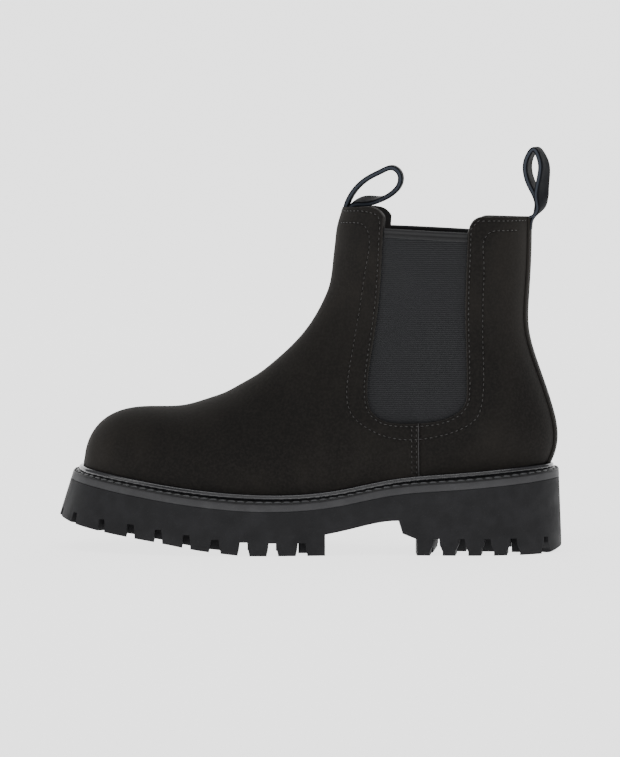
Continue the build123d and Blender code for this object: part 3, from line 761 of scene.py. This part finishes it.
# painted light: the bead is the same welt rubber as the ledge, and glossier; its colour is painted
# paler to stand in for light on its body and to fill the shade under it
LIT_BEAD_RUBBER = rubber("bead_rubber_painted_light", (0.0130, 0.0130, 0.0150), (0.0180, 0.0180, 0.0205), 0.17, 500,
                     shine=0.65)
MID_RUBBER = rubber("midsole_rubber", (0.025, 0.025, 0.0265), (0.032, 0.032, 0.034), 0.62, 1200)
OUT_RUBBER = rubber("outsole_rubber", (0.0100, 0.0100, 0.0109), (0.0132, 0.0132, 0.0144), 0.64, 1100,
                    worn=0.0005, shine=0.14)
STIFF = fibre("stiffener", (0.10, 0.09, 0.07), (0.20, 0.18, 0.15), 0.9, 900)
INTER = fibre("interlining", (0.05, 0.05, 0.05), (0.10, 0.10, 0.10), 0.95, 1600)
BOARD = fibre("board", (0.16, 0.11, 0.07), (0.26, 0.19, 0.12), 0.85, 500)
CORK = fibre("filler", (0.10, 0.065, 0.035), (0.24, 0.16, 0.09), 0.95, 350)
SOCK = fibre("sock", (0.016, 0.016, 0.017), (0.034, 0.034, 0.036), 0.88, 1300)
STEEL = steel()


# ---- stitch lines, side view
NEAR_EDGE = away_line(WINDOW, -1.5)
ROW_NEAR = np.vstack([
    [(31, 197.5), (35.5, 197.0), (39.3, 196.2), (41.7, 194.5), (42.7, 191.8), (42.8, 189)],
    NEAR_EDGE[NEAR_EDGE[:, 1] < 186.5],
    [(95.6, 189), (96.6, 191.0), (99.0, 192.1), (104, 192.2)]])
ROW_WIDE = smooth_line([(18.4, 190.3), (22.5, 190.5), (27.2, 190.6), (30.1, 190.5), (32.9, 189.5),
                        (34.6, 187.8), (35.7, 185.8), (36.6, 181.1), (36.3, 175.0), (35.1, 168.6),
                        (31.4, 145.3), (28.6, 127.7), (25.3, 105.6),
                        (24.2, 92.3), (27, 81.3), (35.3, 73.6), (47.5, 68.1), (65.1, 66.6),
                        (78, 68.6), (90.5, 72.8), (99.3, 79.5), (102.3, 89.5), (102.5, 117),
                        (102.4, 150), (102.6, 172), (103.2, 181.9), (105.9, 185.3),
                        (113.3, 186.5), (121.5, 186.5)], 300)
COLLAR_FRONT = np.array([(-20, 195.6), (31.0, 197.5)])
COLLAR_REAR = np.array([(104.0, 192.2), (160, 191.3)])
SEAM_ROWS = [np.array([(SEAM_X - back, 46.0), (SEAM_X - back, 73.5)]) for back in (1.5, 4.2)]


def line_gap(p, line):
    """Side-view distance from a line of points, in mm."""
    best = np.full(len(p), 99.0)
    for a, b in zip(line, line[1:]):
        best = np.minimum(best, segment_gap(p[:, [0, 2]], a, b))
    return best


def from_rows(*rows):
    """Field: distance from the nearest of several rows of stitching."""
    return lambda p: np.min([line_gap(p, line) for line in rows], axis=0)


# ---- upper
def panel(name, material, slot, nodes, hidden, free, outer, inner, rounding=0.6, rows=None,
          bare=None):
    """Sheet laid on the last and cut by fields: hidden edges stay square, free ones are
    rounded.  outer and inner are heights above the last's surface, or functions of the
    points and of their distance from a free edge.  rows and bare give the distances from
    stitching and from a bare cut edge."""
    points, faces = LAST_ROWS, LAST_FACES
    for field in (*hidden, *free):
        points, faces = clip(points, faces, field(points))
    if free:
        for share in (1.0, 0.35):
            gap = np.min([field(points) for field in free], axis=0)
            points, faces = clip(points, faces, gap - rounding * share, both=True)
        gap = np.maximum(np.min([field(points) for field in free], axis=0), 0)
    else:
        gap = np.full(len(points), 50.0)
    fall = rounding - np.sqrt(rounding ** 2 - np.maximum(rounding - gap, 0) ** 2)
    high = (outer(points, gap) if callable(outer) else outer) - fall
    deep = inner(points, gap) if callable(inner) else inner
    far = np.full(len(points), 9.0)
    top, low = (points[:, :3] + unit(points[:, 3:6]) * (height + 0 * far)[:, None]
                for height in (high, deep))
    thing = make_piece(name, *close_sheet(top, low, faces), material, slot, nodes)
    row = rows(points) if rows else far
    cut = bare(points) if bare else far
    add_numbers(thing, "edge", np.concatenate([gap, 0 * gap + 0.5]))
    add_numbers(thing, "row", np.concatenate([row, far]))
    add_numbers(thing, "cut", np.concatenate([cut, cut]))


def ahead_of(x):
    """Field: how far points lie towards the toe from x."""
    return lambda p: x - p[:, 0]


def behind(x):
    """Field: how far points lie towards the heel from x."""
    return lambda p: p[:, 0] - x


def on_foot(p):
    """Height above the upper's lower edge, which is sunk in the welt."""
    return sole_gap(p, -0.6)


def lap(p):
    """How far the vamp is lifted where it lies over the quarters."""
    return step(44, 63, p[:, 0]) * (1 - step(72, 92, p[:, 2]))


def tuck(p):
    """How far the quarter sinks where it runs under the vamp."""
    return 1 - step(SEAM_X - 0.8, SEAM_X + 1.4, p[:, 0])


def upper_leather():
    """Vamp and quarters."""
    panel("vamp_leather", NUBUCK, "nubuck", ["vamp"], [on_foot],
          [collar_gap, window_gap, ahead_of(SEAM_X)],
          lambda p, gap: LAP_RISE * lap(p), lambda p, gap: -LEATHER + LAP_RISE * lap(p),
          rows=from_rows(ROW_NEAR, ROW_WIDE, COLLAR_FRONT, *SEAM_ROWS),
          bare=lambda p: SEAM_X - p[:, 0])
    for name, side in (("lateral", -1), ("medial", 1)):
        panel(f"quarter_{name}_leather", NUBUCK, "nubuck", [f"quarter_{name}"],
              [on_foot, behind(SEAM_X - 8), lambda p, side=side: p[:, 1] * side],
              [collar_gap, window_gap],
              lambda p, gap: -1.15 * tuck(p), lambda p, gap: -LEATHER - 0.1 * tuck(p),
              rows=from_rows(ROW_NEAR, ROW_WIDE, COLLAR_REAR))


def inner_layers():
    """Stiffeners, interlinings and lining, from the leather inwards."""
    middle_out, middle_in = -LEATHER - CLEAR, -LEATHER - MIDDLE + CLEAR
    counter = lambda p: inside(p[:, [0, 2]], COUNTER)
    below = lambda p: collar_gap(p) - 1.3
    off_elastic = lambda p: window_gap(p, GORE_TUCK)
    off_tail = lambda p: np.maximum(np.abs(p[:, 1]) - STRAP_WIDE / 2,
                                    np.maximum(p[:, 0] - 60, POCKET_LOW - p[:, 2]))
    off_counter = lambda p: -counter(p)
    swell = lambda p, gap: -LEATHER - MIDDLE + (MIDDLE - 0.1) * (1 - step(0.9, 2.6, collar_gap(p)))
    for node, suffix, look, slot, fields in (
            ("toe_puff", "board", STIFF, "stiffener", [ahead_of(PUFF_X)]),
            ("heel_counter", "board", STIFF, "stiffener", [counter, off_elastic]),
            ("vamp_interlining", "cloth", INTER, "interlining",
             [behind(PUFF_X), ahead_of(LAYER_SPLIT), below, off_elastic, off_tail, off_counter]),
            ("quarter_interlining", "cloth", INTER, "interlining",
             [behind(LAYER_SPLIT), below, off_elastic, off_counter])):
        panel(f"{node}_{suffix}", look, slot, [node], [on_foot, *fields], [], middle_out, middle_in)
    for node, field in (("vamp_lining", ahead_of(SEAM_X)), ("quarter_lining", behind(SEAM_X))):
        panel(f"{node}_leather", LINING_SKIN, "lining_leather", [node], [on_foot, field],
              [collar_gap, window_gap], swell, -LEATHER - MIDDLE - LINING)


def back_strip():
    """Reinforcing strip over the back seam."""
    panel("back_strip_leather", NUBUCK, "strap_leather", ["back_strip"],
          [lambda p: p[:, 0] - 80, lambda p: sole_gap(p, BEAD - 0.6)],
          [collar_gap, lambda p: STRAP_WIDE / 2 - np.abs(p[:, 1])],
          STRIP, -0.1, rows=lambda p: np.abs(np.abs(p[:, 1]) - STRAP_WIDE / 2 + TRIM))


def gore_top(x):
    """Height of the elastic's top edge."""
    return np.interp(x, *np.array(GORE_TOP).T)


def elastic_gores():
    """Stretch panels in the windows, ribbed, with tape over their top edge."""
    rise = np.arange(70, 189, RIB_PITCH / 5)
    run = np.arange(31, 99.5, 2.2)
    for name, side in (("lateral", -1), ("medial", 1)):
        x, z = np.meshgrid(run, rise)
        place, normal = on_side(np.stack([x.ravel(), z.ravel()], axis=1), side)
        points = np.concatenate([place, normal], axis=1)
        points, faces = clip(points, grid_faces(len(rise), len(run)),
                             GORE_MARGIN - window_gap(points))
        points, faces = clip(points, faces, gore_top(points[:, 0]) - points[:, 2])
        wave = 0.5 + 0.5 * np.cos(points[:, 2] / RIB_PITCH * 2 * math.pi)
        place, normal = points[:, :3], points[:, 3:6]
        sag = 0.25 * np.sin(points[:, 2] * 0.11 + side) * np.sin(points[:, 0] * 0.09)
        out = -LEATHER - GORE_SUNK + RIB_DEEP * wave + sag * step(0, 8, -window_gap(points))
        high = place + normal * out[:, None]
        low = high - normal * (0.55 + RIB_DEEP * wave)[:, None]
        web = make_piece(f"gore_{name}_web", *close_sheet(high, low, faces), ELASTIC, "elastic",
                         [f"gore_{name}"])
        # rib height, which the elastic's colour turns into painted shade between the ribs
        add_numbers(web, "rib", np.concatenate([wave, wave * 0]))
        gore_tape(name, side)


def gore_tape(name, side):
    """Folded tape over an elastic panel's top edge, stitched through the middle."""
    x = np.linspace(44.0, 95.6, 60)
    place, normal = on_side(np.stack([x, gore_top(x)], axis=1), side)
    place = place + normal * (-LEATHER - 0.45)
    outline = [(-0.75, 0.9), (-1.05, 0.3), (-1.10, -0.6), (-0.80, -1.3), (-0.60, -1.7),
               (-0.80, -2.1), (-1.05, -2.8), (-0.95, -3.7), (-0.55, -4.2), (0.55, -4.2),
               (0.85, -3.6), (0.95, -2.6), (0.70, -1.8), (0.95, -1.0), (0.95, 0.2),
               (0.65, 0.9), (0.0, 1.2)]
    # painted highlight weight for each section point: 1 on the top fold and the lower edge, 0 in the
    # hollows
    fold_highlight = [1.0, 0.0, 0.25, 0.1, 0.0, 0.1, 0.2, 0.0, 1.0, 1.0, 0.0, 0.2, 0.0, 0.2, 0.0, 1.0, 0.6]
    section = np.array([(side * u, v) for u, v in outline])
    points, faces = sweep(place, UP, section)
    band = make_piece(f"gore_tape_{name}", points, faces, TAPE, "tape", [f"gore_binding_{name}"])
    add_numbers(band, "fold_highlight", np.tile(fold_highlight, len(place)))
    subdivide(band)


def subdivide(thing):
    """One level of smooth subdivision, the same in views and renders."""
    made = thing.modifiers.new("smooth", "SUBSURF")
    made.levels = made.render_levels = 1


# ---- stitches
def stitch_row(place, normal, pitch, long, thick, arch=0.35, seed=1):
    """Stitches along a line of surface points: short arched lengths of thread."""
    run = chord(place)
    count = max(int(run[-1] // pitch), 1)
    at = (np.arange(count) + 0.5) * run[-1] / count
    centre = read(at, run, place)
    up = unit(read(at, run, normal))
    ahead = read(at, run, np.gradient(place, axis=0))
    ahead = unit(ahead - (ahead * up).sum(axis=1)[:, None] * up)
    side = np.cross(up, ahead)
    turn = np.random.default_rng(seed).normal(0, 0.05, count)[:, None]
    ahead, side = ahead + side * turn, side - ahead * turn
    s = np.array([-1.0, -0.86, -0.5, 0.0, 0.5, 0.86, 1.0])
    rings, sides = len(s), 6
    wide = thick / 2 * np.sqrt(np.maximum(1 - s ** 8, 0.10))
    angle = np.linspace(0, 2 * math.pi, sides, endpoint=False)
    shape_a = (s[:, None] * long / 2) * np.ones(sides)
    shape_s = wide[:, None] * np.cos(angle)
    shape_u = wide[:, None] * np.sin(angle) + (arch * thick * (1 - s ** 2) - 0.12)[:, None]
    every = centre[:, None, None] + shape_a[..., None] * ahead[:, None, None] \
        + shape_s[..., None] * side[:, None, None] + shape_u[..., None] * up[:, None, None]
    one = grid_faces(rings, sides, wrap_cols=True)
    whole = rings * sides
    one += [tuple(range(sides))[::-1], tuple(range(whole - sides, whole))]
    faces = [tuple(v + whole * k for v in face) for k in range(count) for face in one]
    return every.reshape(-1, 3), faces


def side_row(line, side, thick, seed):
    """Stitches along a side-view line, raised where the vamp laps over the quarters."""
    place, normal = on_side(line, side)
    lift = np.where(line[:, 0] < SEAM_X, LAP_RISE * lap(xz(line)), 0)
    return stitch_row(place + normal * lift[:, None], normal, PITCH, LONG, thick, seed=seed)


def stitch_piece(name, rows, material=UPPER_THREAD, nodes=()):
    """All the stitches of one seam."""
    make_piece(name, *join(rows), material, "thread", nodes)


def side_stitches():
    """Two rows round each window, and two along the side seam."""
    for name, side in (("lateral", -1), ("medial", 1)):
        rows = []
        for k, line in enumerate((ROW_NEAR, ROW_WIDE)):
            line = even(line, 500)
            line = line[collar_gap(xz(line)) > 1.2]
            rows.append(side_row(line, side, THICK, 10 + k))
        for k, line in enumerate(SEAM_ROWS):
            rows.append(side_row(even(line, 60), side, SEAM_THICK, 20 + k))
        stitch_piece(f"stitches_{name}", rows)


def collar_stitches():
    """A row round the front and the rear of the collar."""
    rows = []
    for centre, line, first, last, gap in ((60, COLLAR_FRONT, 98, 262, -1),
                                           (78, COLLAR_REAR, -80, 80, STRAP_WIDE / 2 + 1)):
        angle = np.radians(np.linspace(first, last, 260))
        way = np.stack([np.cos(angle), np.sin(angle), 0 * angle], axis=1)
        start = np.tile([centre, 0.0, 192.0], (len(way), 1))
        place, normal = near_skin(start, way)
        for _ in range(3):
            start[:, 2] = np.interp(place[:, 0], line[:, 0], line[:, 1])
            place, normal = near_skin(start, way)
        keep = (place[:, 0] > line[0, 0]) & (place[:, 0] < line[1, 0])
        kept = np.flatnonzero(keep & (np.abs(place[:, 1]) > gap))
        for part in np.split(kept, np.where(np.diff(kept) > 1)[0] + 1):
            if len(part) > 6:
                facing = normal[part] * outward(place[part], normal[part])
                rows.append(stitch_row(place[part], facing, PITCH, LONG, THICK, seed=30))
    stitch_piece("stitches_collar", rows)


def strip_stitches():
    """A row along both edges of the back strip."""
    rows = []
    for y in (-1, 1):
        z = np.linspace(49, 190.5, 200)
        start = np.stack([0 * z + 200, 0 * z + y * (STRAP_WIDE / 2 - TRIM), z], axis=1)
        place, normal = near_skin(start, (-1, 0, 0))
        rows.append(stitch_row(place + normal * STRIP, normal, PITCH, LONG, THICK, seed=40 + y))
    stitch_piece("stitches_back_strip", rows)


def outward(place, normal):
    """1 or -1 for each place, so that the normal leaves the shaft."""
    return np.sign(((place[:, :2] - SHAFT_MIDDLE) * normal[:, :2]).sum(axis=1))[:, None]


# ---- sole
def rim_loop(points, faces, value):
    """Closed chain of the points that lie on a cut's zero line."""
    on = np.abs(value) < 0.3
    after = {a: b for a, b in open_edges(faces) if on[a] and on[b]}
    start = min(after)
    chain = [start]
    while after[chain[-1]] != start:
        chain.append(after[chain[-1]])
    return points[chain]


def loop_at(above):
    """Even points and normals where the last is a height above the welt."""
    value = sole_gap(LAST_ROWS, above)
    points, faces = clip(LAST_ROWS, LAST_FACES, value)
    chain = rim_loop(points, faces, sole_gap(points, above))
    chain = even(chain, 520, closed=True)
    area = (chain[:, 0] * np.roll(chain[:, 1], -1) - np.roll(chain[:, 0], -1) * chain[:, 1]).sum()
    chain = chain if area > 0 else chain[::-1]
    return chain[:, :3], unit(chain[:, 3:6])


def plan_normal(line):
    """Outward directions along a closed plan curve that runs anticlockwise."""
    ahead = unit(np.roll(line, -1, axis=0) - np.roll(line, 1, axis=0))
    return np.stack([ahead[:, 1], -ahead[:, 0]], axis=1)


def sole_flare(points):
    """Spread of the sole's wall at places in plan, read by their angle."""
    x, y, flare = np.array(SOLE_PLAN).T
    angle = np.arctan2(y, x)
    order = np.argsort(angle)
    return np.interp(np.arctan2(points[:, 1], points[:, 0]), angle[order], flare[order],
                     period=2 * math.pi)


def sole_edge(height, count=720):
    """Edge of the flared sole at a height that depends on x: points, outward directions
    in plan, and how far the wall spreads for each mm down."""
    high = closed_curve([(x, y) for x, y, _ in SOLE_PLAN], count)
    flare = sole_flare(high)
    out = plan_normal(high)
    x = high[:, 0]
    for _ in range(3):
        level = height(x)
        edge = high + out * (flare * (1 - level / PLAN_TOP))[:, None]
        x = edge[:, 0]
    return np.column_stack([edge, level]), np.column_stack([out, 0 * level]), flare / PLAN_TOP


def sole_ring(name, height, section, material, slot, nodes):
    """Ring that follows the sole's edge: section is (outwards, up) from the edge, and its
    outer points lean with the sole's wall."""
    path, _, slope = sole_edge(height)
    section = np.array(section)
    lean = np.where(section[:, 0] > -3, section[:, 1], 0)
    placed = np.tile(section, (len(path), 1, 1))
    placed[:, :, 0] -= slope[:, None] * lean
    points, faces = sweep(path, UP, placed, closed=True)
    sharpen(make_piece(name, points, faces, material, slot, nodes))


def sharpen(thing, degrees=38):
    """Flat shading kept across edges sharper than an angle."""
    with editing(thing) as mesh:
        for edge in mesh.edges:
            if len(edge.link_faces) == 2 and edge.calc_face_angle(0) > math.radians(degrees):
                edge.smooth = False


def welt():
    """Stitched ledge with its groove, the bead against the upper, and the stitches."""
    ledge = [(0.0, -1.48), (0.02, -1.05), (-0.08, -0.85), (-0.30, -0.75), (-0.50, -0.85),
             (-1.70, -0.80), (-2.0, -0.35), (-2.4, -0.10), (-5.0, 0.03), (-11.0, 0.03),
             (-11.0, -1.48)]
    sole_ring("welt_ledge", feather_line, ledge, WELT_RUBBER, "welt_rubber", ["welt"])
    place, normal = loop_at(BEAD_UP)
    flat = unit(normal * [1, 1, 0.2])
    centre = place + flat * (1.0 + 1.6 * step(118, 142, place[:, 0]))[:, None]
    angle = np.linspace(0, 2 * math.pi, 20, endpoint=False)
    round_box = np.stack([np.cos(angle), np.sin(angle)], axis=1)
    round_box = np.sign(round_box) * np.abs(round_box) ** BEAD_SQUARE * BEAD_HALF
    points, faces = sweep(centre, UP, round_box, closed=True)
    # the bead's material has painted light in its paler colour
    make_piece("welt_bead", points, faces, LIT_BEAD_RUBBER, "welt_rubber")
    path, out, _ = sole_edge(feather_line)
    line = path + out * THREAD_IN + [0, 0, -0.45]
    line = np.vstack([line, line[:1]])
    row = stitch_row(line, 0 * line + UP, WELT_PITCH, WELT_LONG, WELT_THICK, arch=0.2, seed=5)
    stitch_piece("welt_stitches", [row], WELT_THREAD, ["welt_thread"])


def midsole():
    """Pale band between the welt and the outsole."""
    band = [(-0.35, 0.02), (-0.05, 0.25), (0.02, 0.8), (0.04, 2.15), (0.02, 3.5), (-0.05, 4.05),
            (-0.30, MIDSOLE - 0.02), (-24.0, MIDSOLE - 0.02), (-24.0, 0.02)]
    sole_ring("midsole_band", sole_line, band, MID_RUBBER, "midsole_rubber", ["midsole"])


def footbed():
    """Cushioned sock: a soft pad that fills the lining from side to side."""
    rim, normal = loop_at(INSOLE + FOOTBED - 1.0)
    edge = rim[:, :2] - unit(normal[:, :2]) * (LEATHER + MIDDLE + LINING + 0.15)
    edge = even(edge, 260, closed=True)
    spine_x = np.clip(edge[:, 0], edge[:, 0].min() + 38, edge[:, 0].max() - 30)
    heart = np.stack([spine_x, 0 * spine_x + 0.5], axis=1)
    rings = []
    for share, drop in ((1.0, 1.6), (0.992, 0.7), (0.965, 0.15), (0.90, 0.0), (0.78, 0.1),
                        (0.6, 0.15), (0.4, 0.0), (0.2, -0.1), (0.0, -0.1)):
        ring = heart + (edge - heart) * share
        cup = 1.6 * step(0.55, 1.0, share) * step(30, 90, ring[:, 0])
        top = feather_line(ring[:, 0]) + INSOLE + FOOTBED - drop + cup
        rings.append(np.column_stack([ring, top]))
    for share in (0.0, 0.5, 1.0):
        ring = heart + (edge - heart) * share
        rings.append(np.column_stack([ring, feather_line(ring[:, 0]) + INSOLE + 0.05]))
    rings = np.array(rings[-3:] + rings[:-3])
    faces = grid_faces(len(rings), len(edge), wrap_cols=True)
    pad = make_object("footbed_sock", rings.reshape(-1, 3), faces, SOCK)
    with editing(pad) as mesh:
        bmesh.ops.remove_doubles(mesh, verts=mesh.verts, dist=0.02 * MM)
        bmesh.ops.recalc_face_normals(mesh, faces=mesh.faces)
    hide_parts("footbed")
    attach(pad, "root")


# ---- pull loops
def strap_section(thick):
    """Strap section with softly rounded painted edges: (across, up)."""
    half, t = STRAP_WIDE / 2, thick / 2
    side = [(half - 0.9, t), (half - 0.35, t * 0.92), (half - 0.05, t * 0.6), (half, 0.0)]
    across = [(k, t) for k in (-4.0, -2.0, 0.0, 2.0, 4.0)]
    top = [(-u, v) for u, v in reversed(side)] + across + side
    low = [(u, -v) for u, v in reversed(top[1:-1])]
    return top + low


def strap(name, line, turns, rolls, thick, nodes):
    """Strap along a centre line, turned about the vertical and rolled about the line."""
    ahead = unit(np.gradient(line, axis=0))
    wide = np.stack([-np.sin(turns), -np.cos(turns), 0 * turns], axis=1)
    up = np.cross(wide, ahead)
    up = up * np.cos(rolls)[:, None] + wide * np.sin(rolls)[:, None]
    section = np.array([strap_section(t) for t in thick])
    points, faces = sweep(line, up, section)
    loop = make_piece(name, points, faces, STRAP, "strap_leather", nodes, body=None)
    rim = STRAP_WIDE / 2 - np.abs(section[..., 0]) + np.abs(section[..., 1]) / thick[:, None]
    add_numbers(loop, "edge", rim.ravel())
    add_numbers(loop, "row", np.full(len(points), 9.0))
    subdivide(loop)
    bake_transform(loop)


FRONT_LINE = [(17.2, 180.5), (18.3, 187.8), (19.9, 194.0), (21.4, 199.8), (24.4, 206.3),
              (29.2, 212.2), (35.2, 216.6), (42.0, 220.0), (48.2, 221.9), (51.6, 219.8),
              (53.0, 215.4), (51.4, 210.6), (47.8, 207.0), (43.4, 204.3), (38.0, 203.0),
              (31.0, 202.3), (26.4, 201.0), (23.4, 198.8), (21.4, 195.0)]
BACK_LINE = [(-5.0, 184.0), (-4.6, 189.5), (-2.3, 193.0), (0.7, 194.3), (2.6, 198.0), (2.8, 203.4),
             (0.2, 211.0), (-2.3, 217.5), (-2.9, 223.5), (-1.2, 229.4), (1.9, 232.9),
             (5.0, 229.4), (7.2, 223.0), (6.9, 215.5), (6.2, 208.5), (6.0, 203.4),
             (5.0, 199.0), (2.0, 195.0), (0.1, 191.6), (-0.6, 186.0)]
BACK_LOOP_X = 129.2
# Turns and rolls in degrees, from one end of a strap to the other: (share of length, angle).
BACK_TURNS = [(0, 0), (0.20, 0), (0.30, 12), (0.45, 10), (0.52, 8), (0.60, 15), (0.80, 28),
              (0.90, 0), (1, 0)]
FRONT_ROLLS = [(0, 0), (0.77, 0), (0.84, -16), (0.88, -16), (0.94, 0), (1, 0)]


def angles_along(table, count):
    """Angles in radians, evenly along a strap, from a table of shares and degrees."""
    shares, degrees = np.array(table, float).T
    plain = np.interp(np.linspace(0, 1, count), shares, np.radians(degrees))
    soft = np.hanning(15) / np.hanning(15).sum()
    return np.convolve(np.pad(plain, 7, mode="edge"), soft, mode="valid")


def pull_loops():
    """Both finger loops, each one strap from collar to collar."""
    line = smooth_line(FRONT_LINE, 150)
    thick = 1.1 + (STRAP_THICK - 1.1) * step(195.5, 200.5, line[:, 1])
    rolls = angles_along(FRONT_ROLLS, len(line))
    strap("front_loop_strap", xz(line), 0 * rolls, rolls, thick,
          ["front_strap_tail", "front_pull_loop"])
    line = smooth_line(BACK_LINE, 160)
    turns = angles_along(BACK_TURNS, len(line))
    path = np.stack([BACK_LOOP_X + line[:, 0] * np.cos(turns), -line[:, 0] * np.sin(turns),
                     line[:, 1]], axis=1)
    thick = 1.0 + (STRAP_THICK - 1.0) * step(190.5, 199.0, line[:, 1])
    strap("back_loop_strap", path, turns, 0 * turns, thick, ["back_pull_loop"])


# ---- frame pieces
def dress_frame():
    """Materials for the pieces that keep their CAD shape."""
    looks = {"insole_board": BOARD, "bottom_filler": CORK, "shank": STEEL,
             "shank_rivets": STEEL, "outsole": OUT_RUBBER}
    for name, look in looks.items():
        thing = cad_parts[name]
        thing.data.materials.clear()
        thing.data.materials.append(look)


# ---- studio
def point_at(name, data, place, aim):
    """New light or camera at a place, in metres, that looks at another."""
    thing = bpy.data.objects.new(name, data)
    thing.location = place
    thing.rotation_euler = (Vector(aim) - Vector(place)).to_track_quat("-Z", "Y").to_euler()
    bpy.context.collection.objects.link(thing)
    return thing


def area_light(name, place, size, power):
    """Soft rectangular light pointed at the boot; metres and watts."""
    lamp = bpy.data.lights.new(name, "AREA")
    lamp.shape = "RECTANGLE"
    lamp.size, lamp.size_y = size
    lamp.energy = power
    point_at(name, lamp, place, (0, 0, 0.1))


CAMERA_PLACE = (0.2702, -3.0882, 0.305)
CAMERA_AIM = (0, 0, 0.099)
VIEW_HEIGHT = 0.441         # what the camera sees at the boot, from top to bottom
SENSOR = 36
FLOOR_DROP = 0.0003         # keeps the floor clear of the lugs' faces
SWEEP_START, SWEEP_RADIUS = 2.0, 1.2
FLOOR_GLOW, SKY_GLOW = 2.2, 0.4


def studio():
    """Pale floor that curves up behind, soft lights and the camera."""
    floor_look = Look("studio_floor", (0.3, 0.3, 0.3), 0.9, Specular_IOR_Level=0.0,
                      Emission_Color=(1, 1, 1, 1), Emission_Strength=FLOOR_GLOW)
    grain = floor_look.noise(3, 2)
    floor_look.colour(floor_look.mix(grain, (0.298, 0.298, 0.298), (0.302, 0.302, 0.302)))
    profile = [(-4.0, -FLOOR_DROP), (SWEEP_START, -FLOOR_DROP)]
    for k in range(1, 13):
        turn = k / 12 * math.pi / 2
        profile.append((SWEEP_START + SWEEP_RADIUS * math.sin(turn),
                        SWEEP_RADIUS - SWEEP_RADIUS * math.cos(turn)))
    profile.append((SWEEP_START + SWEEP_RADIUS, 4.0))
    points = np.array([(x, y, z) for x in (-5, 5) for y, z in profile]) / MM
    floor = make_object("studio_sweep", points, grid_faces(2, len(profile)), floor_look.material)
    world = bpy.data.worlds.new("studio")
    world.use_nodes = True
    sky = world.node_tree.nodes["Background"].inputs
    sky["Color"].default_value = (1, 1, 1, 1)
    sky["Strength"].default_value = SKY_GLOW
    bpy.context.scene.world = world
    area_light("top_box", (-0.1, -0.5, 1.6), (1.6, 0.4), 11)
    area_light("left_box", (-1.6, -1.3, 1.1), (1.0, 1.2), 7)
    area_light("front_box", (0.3, -2.4, 1.0), (1.6, 1.0), 5)
    lens = bpy.data.cameras.new("camera")
    lens.sensor_fit = "VERTICAL"
    lens.sensor_height = SENSOR
    lens.lens = SENSOR * (Vector(CAMERA_AIM) - Vector(CAMERA_PLACE)).length / VIEW_HEIGHT
    bpy.context.scene.camera = point_at("camera", lens, CAMERA_PLACE, CAMERA_AIM)


upper_leather()
inner_layers()
back_strip()
elastic_gores()
side_stitches()
collar_stitches()
strip_stitches()
welt()
midsole()
footbed()
pull_loops()
dress_frame()
studio()
